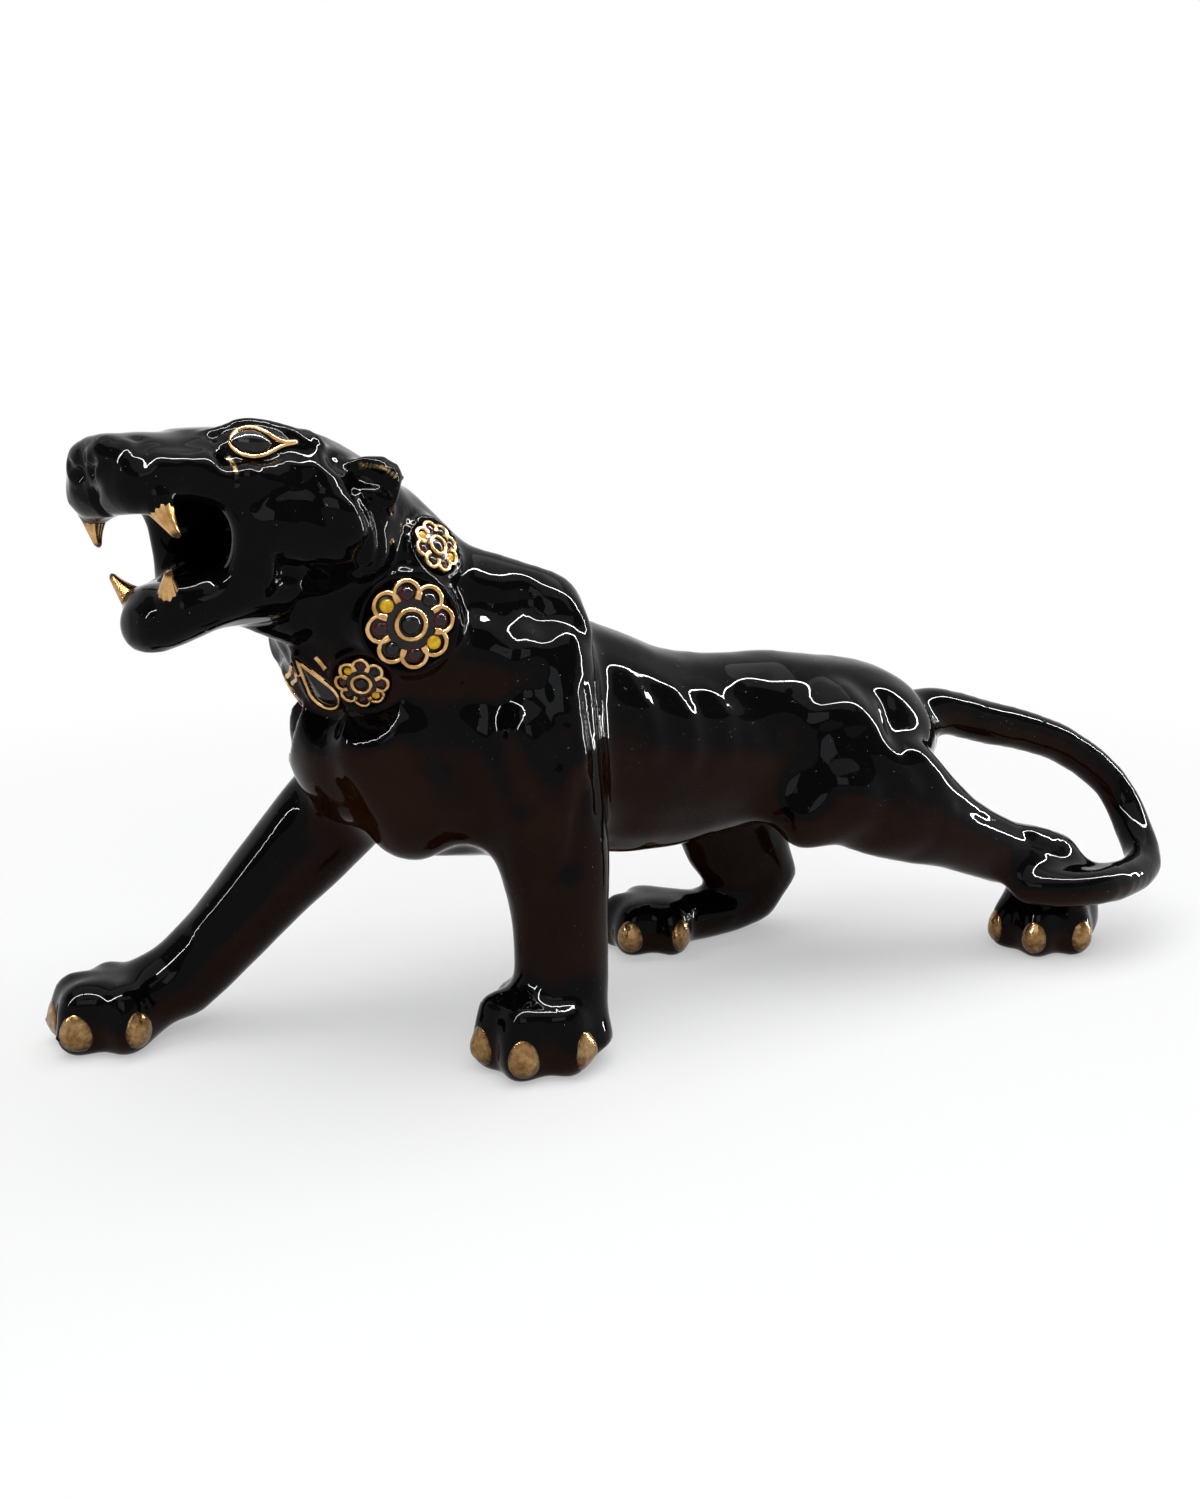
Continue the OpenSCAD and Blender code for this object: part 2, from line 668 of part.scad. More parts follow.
// Upright walls along the outline of the lobes and round the centre
module flower_walls(d, play = 0) {
    h = 3 * medal_rise;
    difference() {
        union() {
            at_lobes(d, [0 : lobes - 1]) cylinder(h = h, r = lobe_r(d) + play, $fn = 48);
            cylinder(h = h, r = centre_r(d) + play, $fn = 48);
        }
        translate([0, 0, -1]) {
            at_lobes(d, [0 : lobes - 1]) cylinder(h = h + 2, r = lobe_r(d) - gold_w - play, $fn = 48);
            cylinder(h = h + 2, r = centre_r(d) - gold_w - play, $fn = 48);
        }
    }
}
module tracery_form(d) {
    intersection() {
        translate([0, 0, inlay_z]) flower_walls(d);
        dome_ball(d, gold_h);
    }
}
// Domed stone with a flat back
module stone(d) {
    translate([0, 0, inlay_z]) intersection() {
        cylinder(h = stone_h, d = d, $fn = 32);
        translate([0, 0, stone_h - d]) sphere(d, $fn = 48);
    }
}
module stone_pocket(d) {
    translate([0, 0, inlay_z]) cylinder(h = 3 * medal_rise, d = d + 2 * seat_gap, $fn = 32);
}
module medallion_form(seat) {
    d = seat[2];
    difference() {
        intersection() {
            translate([0, 0, -medal_sink]) cylinder(h = medal_sink + medal_rise, d = d, $fn = 64);
            dome_ball(d);
        }
        translate([0, 0, inlay_z]) flower_walls(d, seat_gap / 2);
        at_lobes(d, [0 : lobes - 1]) stone_pocket(seat[3]);
        stone_pocket(centre_stone_d(d));
    }
}
module medallion(seat, side) { color(glaze) place() seated(seat, side) medallion_form(seat); }
module tracery(seat, side) { color(gold) place() seated(seat, side) tracery_form(seat[2]); }
module nape_medallion_left() { medallion(nape_seat, left); }
module nape_medallion_right() { medallion(nape_seat, right); }
module side_medallion_left() { medallion(side_seat, left); }
module side_medallion_right() { medallion(side_seat, right); }
module throat_medallion_left() { medallion(throat_seat, left); }
module throat_medallion_right() { medallion(throat_seat, right); }
module nape_tracery_left() { tracery(nape_seat, left); }
module nape_tracery_right() { tracery(nape_seat, right); }
module side_tracery_left() { tracery(side_seat, left); }
module side_tracery_right() { tracery(side_seat, right); }
module throat_tracery_left() { tracery(throat_seat, left); }
module throat_tracery_right() { tracery(throat_seat, right); }

module stones_on(list) {
    for (side = [left, right]) for (seat = [nape_seat, side_seat, throat_seat])
        seated(seat, side) at_lobes(seat[2], list) stone(seat[3]);
}
module yellow_stones() { color(yellow) place() stones_on(yellow_lobes); }
module red_stones() { color(red) place() stones_on(red_lobes); }
module black_stones() {
    color(glaze) place() {
        stones_on(black_lobes);
        for (side = [left, right]) for (seat = [nape_seat, side_seat, throat_seat])
            seated(seat, side) stone(centre_stone_d(seat[2]));
    }
}

// Teardrop of height h, its tip towards +X
module drop(h, l, w, fn = 48) {
    r = w / 2;
    reach = l - r;
    a = acos(r / reach);
    shoulder = 0.97 * r;
    cylinder(h = h, r = r, $fn = fn);
    side = shoulder * sin(a);
    linear_extrude(h) polygon([[shoulder * cos(a), side], [reach, 0], [shoulder * cos(a), -side]]);
}
// Height that the pendant stands above the throat
pendant_rise = 2.4;
module pendant_core(h) {
    drop(h, pendant_l - 4 * gold_w, pendant_w - 2 * gold_w);
}
module pendant() {
    color(glaze) place() seated(pendant_seat, left) {
        translate([0, 0, -medal_sink]) drop(medal_sink, pendant_l, pendant_w);
        pendant_core(pendant_rise);
    }
}
module pendant_rim_form() {
    difference() {
        drop(pendant_rise + gold_h, pendant_l, pendant_w);
        translate([0, 0, -1]) pendant_core(3 * pendant_rise);
    }
}
module pendant_rim() { color(gold) place() seated(pendant_seat, left) pendant_rim_form(); }

// Gold strands from the pendant to the throat medallions
strand_steps = 2;
// Lengths round the neck from the middle of the pendant to a strand, from a strand to the middle of a
// medallion, and between the two strands
strand_start = 4;
strand_stop = 9;
strand_pitch = 3.2;
// Stations along the neck where the outer and the inner strand start and end
strand_stations = [[2.2, 2.02], [2.12, 1.95]];
function strand(side, i) =
    let (way = side == left ? 1 : -1,
         t = strand_stations[i],
         from = round_neck(pendant_seat[1], left) + way * around(strand_start + (1 - i) * strand_pitch),
         to = round_neck(throat_seat[1], side) - way * around(strand_stop + i * strand_pitch)
            - (side == left ? 0 : 360))
    [for (k = [0 : strand_steps]) let (f = k / strand_steps)
        skin(neck, front_ref, t[0] + (t[1] - t[0]) * f, from + (to - from) * f)];
module strand_lines(d, sides) {
    for (side = [left, right]) for (i = [0, 1])
        loft([for (p = strand(side, i)) ring(p[0], p[1], p[2], d / 2)], [1, 0, 1], sides);
}
module throat_strands() { color(gold) place() strand_lines(strand_d, 6); }

module claws_fore_left() { color(gold) place() claw_set(fore_left_at); }
module claws_fore_right() { color(gold) place() claw_set(fore_right_at); }
module claws_hind_left() { color(gold) place() claw_set(hind_left_at); }
module claws_hind_right() { color(gold) place() claw_set(hind_right_at); }

torso();
head();
lower_jaw();
ear_left();
ear_right();
foreleg_left();
foreleg_right();
hindleg_left();
hindleg_right();
tail();
upper_fang_left();
upper_fang_right();
lower_fang_left();
lower_fang_right();
eye_left();
eye_right();
eye_line_left();
eye_line_right();
nape_medallion_left();
nape_medallion_right();
side_medallion_left();
side_medallion_right();
throat_medallion_left();
throat_medallion_right();
pendant();
nape_tracery_left();
nape_tracery_right();
side_tracery_left();
side_tracery_right();
throat_tracery_left();
throat_tracery_right();
pendant_rim();
throat_strands();
yellow_stones();
red_stones();
black_stones();
claws_fore_left();
claws_fore_right();
claws_hind_left();
claws_hind_right();
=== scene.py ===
import math

import bpy
import numpy as np
from mathutils import Matrix, Vector, noise
from mathutils.bvhtree import BVHTree


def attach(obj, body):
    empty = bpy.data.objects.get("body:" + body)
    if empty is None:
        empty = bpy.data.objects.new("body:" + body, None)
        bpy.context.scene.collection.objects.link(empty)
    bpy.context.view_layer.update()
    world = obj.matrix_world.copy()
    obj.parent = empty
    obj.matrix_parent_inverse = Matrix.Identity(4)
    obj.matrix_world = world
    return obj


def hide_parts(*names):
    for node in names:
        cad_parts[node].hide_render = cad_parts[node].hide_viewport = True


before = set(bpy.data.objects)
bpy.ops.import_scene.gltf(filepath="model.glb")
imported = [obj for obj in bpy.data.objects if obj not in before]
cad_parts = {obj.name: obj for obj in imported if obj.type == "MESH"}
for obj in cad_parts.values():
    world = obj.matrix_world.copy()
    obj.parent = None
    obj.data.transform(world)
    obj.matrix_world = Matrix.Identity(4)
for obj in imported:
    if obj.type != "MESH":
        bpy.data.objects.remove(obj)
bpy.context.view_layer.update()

mm = 0.001
scene = bpy.context.scene
scene.view_settings.view_transform = "Standard"

# the picture is 1200 by 1500, and its long side carries the sensor width
cameraSet = {
    "place": (-0.3549, -0.5655, 0.252),
    "turn": -29.1,
    "down": 12.0,
    "lens": 36.0,
    "sensor": 36.0,
    "frame": (1200, 1500),
}

# plan middle of the figure, taken off every station to reach the shared origin
figureMiddle = (33.9, -1.5, 0.0)

# the head sits turned and tilted on the neck
headSet = {
    "pivot": (-112.0, 0.0, 222.0),
    "turn": 16.0,
    "tilt": -6.0,
}
sides = {"left": -1, "right": 1}


def deselectAll():
    if bpy.context.object and bpy.context.object.mode != "OBJECT":
        bpy.ops.object.mode_set(mode="OBJECT")
    bpy.ops.object.select_all(action="DESELECT")


def makeActive(piece):
    deselectAll()
    piece.select_set(True)
    bpy.context.view_layer.objects.active = piece


def addAndApply(piece, kind, **settings):
    makeActive(piece)
    modifier = piece.modifiers.new(kind.lower(), kind)
    for key, value in settings.items():
        setattr(modifier, key, value)
    bpy.ops.object.modifier_apply(modifier=modifier.name)


def editAll(piece, action, **settings):
    makeActive(piece)
    bpy.ops.object.mode_set(mode="EDIT")
    bpy.ops.mesh.select_all(action="SELECT")
    action(**settings)
    bpy.ops.object.mode_set(mode="OBJECT")


def smoothShade(piece):
    makeActive(piece)
    bpy.ops.object.shade_smooth()


def named(piece, name):
    piece.name = name
    piece.data.name = name
    return piece


def addNew(action, name, **settings):
    deselectAll()
    action(**settings)
    return named(bpy.context.object, name)


def joinAll(pieces, name):
    deselectAll()
    for piece in pieces:
        piece.select_set(True)
    bpy.context.view_layer.objects.active = pieces[0]
    bpy.ops.object.join()
    return named(bpy.context.object, name)


def applyPlace():
    bpy.ops.object.transform_apply(location=True, rotation=True, scale=True)


def setDown(piece, matrix):
    makeActive(piece)
    piece.matrix_world = matrix
    applyPlace()


def copyPiece(piece, name):
    copy = piece.copy()
    copy.data = piece.data.copy()
    scene.collection.objects.link(copy)
    return named(copy, name)


def readPoints(piece):
    flat = np.zeros(len(piece.data.vertices) * 3)
    piece.data.vertices.foreach_get("co", flat)
    return flat.reshape(-1, 3)


def writePoints(piece, points):
    piece.data.vertices.foreach_set("co", points.astype(np.float32).ravel())
    piece.data.update()


def readNormals(piece):
    flat = np.zeros(len(piece.data.vertices) * 3)
    piece.data.vertex_normals.foreach_get("vector", flat)
    return flat.reshape(-1, 3)


def writeMask(piece, name, values):
    layer = piece.data.attributes.new(name, "FLOAT", "POINT")
    layer.data.foreach_set("value", values.astype(np.float32))


def finishPiece(piece, slot, *nodes):
    piece.data.materials.clear()
    piece.data.materials.append(looks[slot])
    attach(piece, "root")
    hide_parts(*nodes)


# every point's distance to every place of the path
def spans(points, path):
    return np.linalg.norm(points[:, None] - path[None], axis=2)


def fall(distance, start, end):
    t = np.clip((distance - start) / (end - start), 0, 1)
    return 1 - t * t * (3 - 2 * t)


def placed(point):
    return Vector([(point[i] - figureMiddle[i]) * mm for i in range(3)])


def setAt(at, normal, along):
    z = normal.normalized()
    x = (along - z * along.dot(z)).normalized()
    y = z.cross(x)
    matrix = Matrix((x, y, z)).transposed().to_4x4()
    matrix.translation = at
    return matrix


headTurn = (Matrix.Rotation(math.radians(headSet["turn"]), 4, "Z")
            @ Matrix.Rotation(math.radians(headSet["tilt"]), 4, "X"))
headFrame = Matrix.Translation(placed(headSet["pivot"])) @ headTurn


def onHead(point, side=1):
    flipped = (point[0], side * point[1], point[2])
    return headFrame @ ((Vector(flipped) - Vector(headSet["pivot"])) * mm)


def headWay(way, side=1):
    return headTurn.to_3x3() @ Vector((way[0], side * way[1], way[2]))


camera = addNew(bpy.ops.object.camera_add, "camera", location=cameraSet["place"])
camera.rotation_euler = (math.radians(90 - cameraSet["down"]), 0, math.radians(cameraSet["turn"]))
camera.data.sensor_width = cameraSet["sensor"]
camera.data.lens = cameraSet["lens"]
camera.data.clip_start = 0.01
scene.camera = camera
bpy.context.view_layer.update()
print("camera placed")


# materials

shaderInputs = {
    "color": "Base Color",
    "rough": "Roughness",
    "specular": "Specular IOR Level",
}


def newMaterial(name, **settings):
    material = bpy.data.materials.new(name)
    material.use_nodes = True
    nodes = material.node_tree.nodes
    shader = nodes["Principled BSDF"]
    for key, value in settings.items():
        shader.inputs[shaderInputs[key]].default_value = value
    return material, (nodes, material.node_tree.links)


def objectNoise(net, scale, detail=2.0, roughness=0.5):
    nodes, links = net
    coordinates = nodes.new("ShaderNodeTexCoord")
    texture = nodes.new("ShaderNodeTexNoise")
    texture.inputs["Scale"].default_value = scale
    texture.inputs["Detail"].default_value = detail
    texture.inputs["Roughness"].default_value = roughness
    links.new(coordinates.outputs["Object"], texture.inputs["Vector"])
    return texture.outputs["Fac"]


def maskOf(net, name):
    attribute = net[0].new("ShaderNodeAttribute")
    attribute.attribute_name = name
    return attribute.outputs["Fac"]


def combine(net, operation, *values):
    nodes, links = net
    node = nodes.new("ShaderNodeMath")
    node.operation = operation
    for socket, value in zip(node.inputs, values):
        if isinstance(value, float):
            socket.default_value = value
        else:
            links.new(value, socket)
    return node.outputs["Value"]


# a painted mask with a share of noise added
def brokenMask(net, name, cloud, share):
    return combine(net, "MULTIPLY_ADD", cloud, share, maskOf(net, name))


def grey(level):
    return (level, level, level)


def ramp(net, source, stops):
    nodes, links = net
    colorRamp = nodes.new("ShaderNodeValToRGB")
    elements = colorRamp.color_ramp.elements
    while len(elements) < len(stops):
        elements.new(0.5)
    for element, (position, color) in zip(elements, stops):
        element.position = position
        element.color = (*color, 1)
    links.new(source, colorRamp.inputs["Fac"])
    return colorRamp.outputs["Color"]


def mixColor(net, factor, first, second):
    nodes, links = net
    mix = nodes.new("ShaderNodeMix")
    mix.data_type = "RGBA"
    links.new(factor, mix.inputs["Factor"])
    base, over = [s for s in mix.inputs if s.type == "RGBA"]
    links.new(first, base)
    over.default_value = (*second, 1)
    return [s for s in mix.outputs if s.type == "RGBA"][0]


def bump(net, height, strength, distance, after=None):
    nodes, links = net
    node = nodes.new("ShaderNodeBump")
    node.inputs["Strength"].default_value = strength
    node.inputs["Distance"].default_value = distance
    links.new(height, node.inputs["Height"])
    if after:
        links.new(after, node.inputs["Normal"])
    return node.outputs["Normal"]


def feed(net, name, source):
    nodes, links = net
    links.new(source, nodes["Principled BSDF"].inputs[name])


def makeBlackGlaze():
    material, net = newMaterial("blackGlaze", specular=0.055)
    # painted reflection: a brownish tint where the figure faces down, standing in for a brownish ground
    # mirrored in the glaze
    cloud = objectNoise(net, 30.0, 3.0)
    tone = ramp(net, brokenMask(net, "brown", cloud, 0.5),
                [(0.45, (0.0016, 0.0016, 0.0019)), (0.7, (0.0085, 0.0027, 0.0010)),
                 (1.0, (0.0175, 0.0052, 0.0013))])
    gilt = maskOf(net, "gilt")
    feed(net, "Base Color", mixColor(net, gilt, tone, (0.5, 0.34, 0.15)))
    feed(net, "Metallic", gilt)
    smear = objectNoise(net, 60.0, 4.0)
    gloss = ramp(net, smear, [(0.3, grey(0.015)), (0.75, grey(0.045))])
    feed(net, "Roughness", gloss)
    # hand-dipped ripple and pinholes
    ripple = objectNoise(net, 48.0, 1.0)
    pins = objectNoise(net, 700.0, 1.0)
    holes = ramp(net, pins, [(0.2, grey(0)), (0.27, grey(1))])
    first = bump(net, ripple, 0.3, 0.0014)
    second = bump(net, holes, 0.6, 0.0004, first)
    feed(net, "Normal", second)
    return material


def makeGold():
    material, net = newMaterial("goldLustre")
    # where the mask is high the gold turns dark and less metallic: worn patches, and on the claws painted
    # shade at the rims and lower halves
    patch = objectNoise(net, 420.0, 4.0, 0.65)
    wearAndShadeMask = brokenMask(net, "worn", patch, 0.5)
    wearAndShadeRamp = ramp(net, wearAndShadeMask, [(0.32, grey(0)), (0.75, grey(1))])
    broad = objectNoise(net, 160.0, 2.0)
    leaf = ramp(net, broad,
                [(0.3, (0.36, 0.185, 0.062)), (0.52, (0.56, 0.33, 0.135)), (0.75, (0.72, 0.49, 0.24))])
    feed(net, "Base Color", mixColor(net, wearAndShadeRamp, leaf, (0.05, 0.022, 0.006)))
    shine = ramp(net, wearAndShadeRamp, [(0.0, grey(1)), (1.0, grey(0.75))])
    feed(net, "Metallic", shine)
    rough = ramp(net, patch, [(0.3, grey(0.12)), (0.7, grey(0.3))])
    feed(net, "Roughness", rough)
    feed(net, "Normal", bump(net, patch, 0.25, 0.0003))
    return material


def makeEnamel(name, deep, pale, scale):
    material, net = newMaterial(name, specular=0.25)
    cloud = objectNoise(net, scale, 3.0)
    feed(net, "Base Color", ramp(net, cloud, [(0.35, deep), (0.65, pale)]))
    rough = ramp(net, cloud, [(0.3, grey(0.08)), (0.7, grey(0.16))])
    feed(net, "Roughness", rough)
    feed(net, "Normal", bump(net, cloud, 0.2, 0.0004))
    return material


def makeGarnet():
    material, net = newMaterial("redEnamel", rough=0.06, specular=0.3)
    cloud = objectNoise(net, 500.0, 2.0)
    tone = ramp(net, brokenMask(net, "rim", cloud, 0.3),
                [(0.35, (0.012, 0.0015, 0.003)), (0.75, (0.05, 0.003, 0.009)), (1.0, (0.26, 0.012, 0.04))])
    feed(net, "Base Color", tone)
    return material


looks = {
    "black_glaze": makeBlackGlaze(),
    "gold_lustre": makeGold(),
    "dark_glaze": makeEnamel("darkGlaze", (0.004, 0.003, 0.004), (0.012, 0.007, 0.009), 300.0),
    "black_enamel": makeEnamel("blackEnamel", (0.003, 0.003, 0.004), (0.007, 0.006, 0.007), 240.0),
    "yellow_enamel": makeEnamel("yellowEnamel", (0.6, 0.3, 0.003), (0.78, 0.5, 0.015), 420.0),
    "red_enamel": makeGarnet(),
}
print("materials mixed")


# glazed body: the cast pieces luted together under one skin of glaze

def bothSides(*names):
    return [name + "_" + side for name in names for side in sides]


castPieces = ["torso", "head", "lower_jaw"] + bothSides("ear", "foreleg", "hindleg") + ["tail"]
# set pieces that close their pockets under the skin
plugPieces = (bothSides("nape_medallion", "side_medallion", "throat_medallion")
              + ["pendant", "throat_strands"]
              + bothSides("eye", "eye_line", "claws_fore", "claws_hind"))
# pieces whose joints are filled with a fillet of slip
lutedPieces = ["torso"] + bothSides("foreleg", "hindleg") + ["tail"]
bodySet = {
    "voxel": 2.45 * mm,
    "fillet": 10.0 * mm,
    "filletVoxel": 3.0 * mm,
    "filletFoot": 40.0 * mm,
    "filletShrink": 1.04,
    "headRefined": 0.3,
    "softStart": 0.4,
    "headEnds": (-140.0, -118.0),
    "headLow": (0.16, 0.15),
    "pawReach": (0.034, 0.05),
    "pawHigh": (0.026, 0.046),
    "headHold": 0.93,
    "pawHold": 0.2,
    "finest": [((-178.0, 28.0, 246.0), 15.0), ((-126.0, 38.0, 246.0), 15.0)],
}
# passes, inward and outward share of each smoothing
relaxSet = {
    "broad": (150, 0.6, 0.614),
    "head": (12, 0.6, 0.63),
    "seams": (10, 0.5, 0.52),
    "last": (14, 0.5, 0.515),
}
# hand-made unevenness of the surface
waverSet = {
    "high": 0.5 * mm,
    "broad": 30.0,
    "close": 75.0,
    "closeShift": (7, 3, 5),
    "closeShare": 0.28,
    "soles": (0.014, 0.004),
    "headCalm": 0.75,
}
# where the brownish tint of painted reflection lies
reflectionTintSet = {
    "most": 0.52,
    "facing": (-0.02, 0.3),
    "height": (0.15, 0.2),
}
# middle of each paw in plan, its turn and the roll of its claws
pawSeats = {
    "fore_left": (-59.0, -53.0, -14.0, -8.0),
    "fore_right": (-204.5, 54.0, 0.0, -11.0),
    "hind_left": (226.5, -48.0, -8.0, 0.0),
    "hind_right": (56.0, 47.0, 0.0, -6.0),
}


def nodeCopy(name):
    copy = bpy.data.objects.new(name + "Cast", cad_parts[name].data.copy())
    scene.collection.objects.link(copy)
    editAll(copy, bpy.ops.mesh.remove_doubles, threshold=0.00001)
    return copy


fangs = {
    "upper": {"root": (-212.5, 24.5, 223.5), "lean": (0.12, 0.45, -1.0),
              "length": 11.5, "radius": 4.3, "gum": 5.2},
    "lower": {"root": (-207.5, 14.5, 196.0), "lean": (-0.6, 0.85, 1.0),
              "length": 11.0, "radius": 4.0, "gum": 4.8},
}


fangSet = {
    "rings": 12,
    "flutes": 11,
    "fluteDeep": 0.13,
    "bend": 1.6,
    "sunk": 0.06,
    "gumBack": 2.5,
}


def gumLumps():
    lumps = []
    for fang in fangs.values():
        for side in (-1, 1):
            back = headWay(fang["lean"], side).normalized() * fangSet["gumBack"] * mm
            middle = onHead(fang["root"], side) - back
            lumps.append(addNew(bpy.ops.mesh.primitive_uv_sphere_add, "gum", radius=fang["gum"] * mm,
                                location=middle))
    return lumps


# the ear hangs into the ruff
earLobe = {
    "middle": (-129.0, 40.5, 227.0),
    "size": (6.5, 4.5, 7.5),
}


def earLobes():
    lobes = []
    for side in (-1, 1):
        middle = onHead(earLobe["middle"], side)
        lobe = addNew(bpy.ops.mesh.primitive_uv_sphere_add, "lobe", radius=1, location=middle)
        lobe.scale = [size * mm for size in earLobe["size"]]
        lobes.append(lobe)
    return lobes


def voxelSkin(piece, size):
    addAndApply(piece, "REMESH", mode="VOXEL", voxel_size=size, adaptivity=0.0)


def slipFillets():
    filled = joinAll([nodeCopy(name) for name in lutedPieces], "slip")
    applyPlace()
    reach = bodySet["fillet"]
    voxelSkin(filled, bodySet["filletVoxel"])
    addAndApply(filled, "DISPLACE", strength=reach, mid_level=0.0)
    voxelSkin(filled, bodySet["filletVoxel"])
    addAndApply(filled, "SMOOTH", factor=0.5, iterations=4)
    addAndApply(filled, "DISPLACE", strength=-bodySet["filletShrink"] * reach, mid_level=0.0)
    editAll(filled, bpy.ops.mesh.bisect, plane_co=(0, 0, bodySet["filletFoot"]), plane_no=(0, 0, 1),
            clear_inner=True, use_fill=True)
    return filled


def castTogether():
    copies = [nodeCopy(name) for name in castPieces + plugPieces]
    skin = joinAll(copies + gumLumps() + earLobes() + [slipFillets()], "glazedBody")
    applyPlace()
    skin.data.materials.clear()
    voxelSkin(skin, bodySet["voxel"])
    return skin


def edgePairs(piece):
    flat = np.zeros(len(piece.data.edges) * 2, np.int64)
    piece.data.edges.foreach_get("vertices", flat)
    return flat.reshape(-1, 2)


def relax(points, pairs, weight, passes, inward, outward):
    count = len(points)
    degree = np.bincount(pairs.ravel(), minlength=count)[:, None]

    def pull(p, factor):
        total = np.empty_like(p)
        for axis in range(3):
            total[:, axis] = (np.bincount(pairs[:, 0], p[pairs[:, 1], axis], count)
                              + np.bincount(pairs[:, 1], p[pairs[:, 0], axis], count))
        return p + factor * weight[:, None] * (total / degree - p)

    for _ in range(passes):
        points = pull(points, inward)
        points = pull(points, -outward)
    return points


def localTo(points, matrix):
    back = np.array(matrix.inverted())
    return (points @ back[:3, :3].T + back[:3, 3]) / mm


def headLocal(points):
    return localTo(points, headFrame) + np.array(headSet["pivot"])


def headMask(points):
    top, low = bodySet["headLow"]
    return fall(headLocal(points)[:, 0], *bodySet["headEnds"]) * fall(-points[:, 2], -top, -low)


def pawMask(points):
    found = np.zeros(len(points))
    for paw in pawSeats.values():
        middle = placed((*paw[:2], 0))
        reach = np.hypot(points[:, 0] - middle.x, points[:, 1] - middle.y)
        near = fall(reach, *bodySet["pawReach"]) * fall(points[:, 2], *bodySet["pawHigh"])
        found = np.maximum(found, near)
    return found


def refine(piece, wanted):
    corners = np.zeros(len(piece.data.loops), np.int64)
    piece.data.loops.foreach_get("vertex_index", corners)
    starts = np.zeros(len(piece.data.polygons), np.int64)
    piece.data.polygons.foreach_get("loop_start", starts)
    inside = np.minimum.reduceat(wanted[corners], starts)
    makeActive(piece)
    bpy.ops.object.mode_set(mode="EDIT")
    bpy.ops.mesh.select_mode(type="FACE")
    bpy.ops.mesh.select_all(action="DESELECT")
    bpy.ops.object.mode_set(mode="OBJECT")
    piece.data.polygons.foreach_set("select", inside.astype(bool))
    bpy.ops.object.mode_set(mode="EDIT")
    bpy.ops.mesh.subdivide(number_cuts=1)
    bpy.ops.mesh.select_all(action="DESELECT")
    bpy.ops.object.mode_set(mode="OBJECT")


body = castTogether()
points = readPoints(body)
print("body cast:", len(points), "points")
pairs = edgePairs(body)
held = np.maximum(bodySet["headHold"] * headMask(points), bodySet["pawHold"] * pawMask(points))
points = relax(points, pairs, 1 - held, *relaxSet["broad"])
points = relax(points, pairs, np.ones(len(points)), *relaxSet["head"])
writePoints(body, points)
refine(body, headMask(points) > bodySet["headRefined"])
for spot, reach in bodySet["finest"]:
    points = readPoints(body)
    folded = headLocal(points)
    folded[:, 1] = np.abs(folded[:, 1])
    refine(body, (np.linalg.norm(folded - np.array(spot), axis=1) < reach).astype(float))


# collar seats, on the same rings as the cast neck: middle, half width, height above and below in mm

neckRings = [
    (-45.0, 0.0, 133.0, 43.0, 48.0, 49.0),
    (-82.0, 0.0, 158.0, 42.0, 45.0, 48.0),
    (-109.0, 0.0, 187.0, 40.0, 42.0, 45.0),
    (-126.0, 0.0, 207.0, 37.0, 39.0, 36.0),
]


# a smooth run from b to c, with a before and d after
def between(a, b, c, d, t):
    return b + 0.5 * t * ((c - a) + t * ((2 * a - 5 * b + 4 * c - d) + t * (3 * (b - c) + d - a)))


def neckRing(t):
    i = int(max(0, min(len(neckRings) - 2, math.floor(t))))
    rings = (np.array(neckRings[max(0, min(len(neckRings) - 1, i + k))]) for k in (-1, 0, 1, 2))
    return between(*rings, t - i)


def neckHeading(t):
    last = len(neckRings) - 1
    return Vector(neckRing(min(t + 0.1, last))[:3] - neckRing(max(t - 0.1, 0))[:3]).normalized()


def neckSkin(t, angle):
    ring = neckRing(t)
    heading = neckHeading(t)
    front = Vector((0, -1, 0))
    w = (front - heading * front.dot(heading)).normalized()
    u = heading.cross(w)
    a = math.radians(angle)
    high = ring[4] if math.sin(a) > 0 else ring[5]
    return Vector(ring[:3]) + w * ring[3] * math.cos(a) + u * high * math.sin(a)


def neckAngle(angle, side):
    return (angle if side < 0 else 180 - angle) + headSet["turn"]


def neckSeat(t, angle, side):
    a = neckAngle(angle, side)
    across = neckSkin(t, a + 2) - neckSkin(t, a - 2)
    up = neckSkin(t + 0.1, a) - neckSkin(t - 0.1, a)
    return setAt(placed(neckSkin(t, a)), across.cross(up), neckHeading(t))


largeFlower = {
    "name": "side",
    "radius": 16.5,
    "line": 1.0,
    "ring": 5.6,
    "stone": 2.7,
    "cabochon": 4.0,
}
smallFlower = {
    "name": "small",
    "radius": 10.0,
    "line": 0.76,
    "ring": 3.6,
    "stone": 1.5,
    "cabochon": 2.3,
}
flowerSeats = {
    "nape": (smallFlower, 2.24, 18.9),
    "side": (largeFlower, 1.89, -22.0),
    "throat": (smallFlower, 1.71, -57.5),
}
pendantSet = {
    "seat": (1.76, -82.4),
    "radius": 6.9,
    "reach": 17.0,
    "rise": 3.0,
    "line": 0.9,
    "strand": 1.15,
    "strands": ((2.2, 2.02, 7.2, 9.0), (2.12, 1.95, 4.0, 12.2)),
    "neckRadius": 42.0,
    "inset": -0.6,
    "peak": (3, 0, 0),
    "slope": 6.4,
    "thick": 1.5,
    "rimLift": 1.2,
}
# each seat lies in a raised border, in mm
borderSet = {
    "bed": -0.4,
    "high": 2.1,
    "at": 2.4,
    "wide": 1.8,
    "reach": 9.0,
    "hold": 2.0,
    "blend": 1.2,
    "across": 34.0,
    "deep": 22.0,
    "facing": 0.05,
    "limit": 30.0,
    "none": 99.0,
}


def roundGap(flower):
    return lambda x, y: np.hypot(x, y) - flower["radius"]


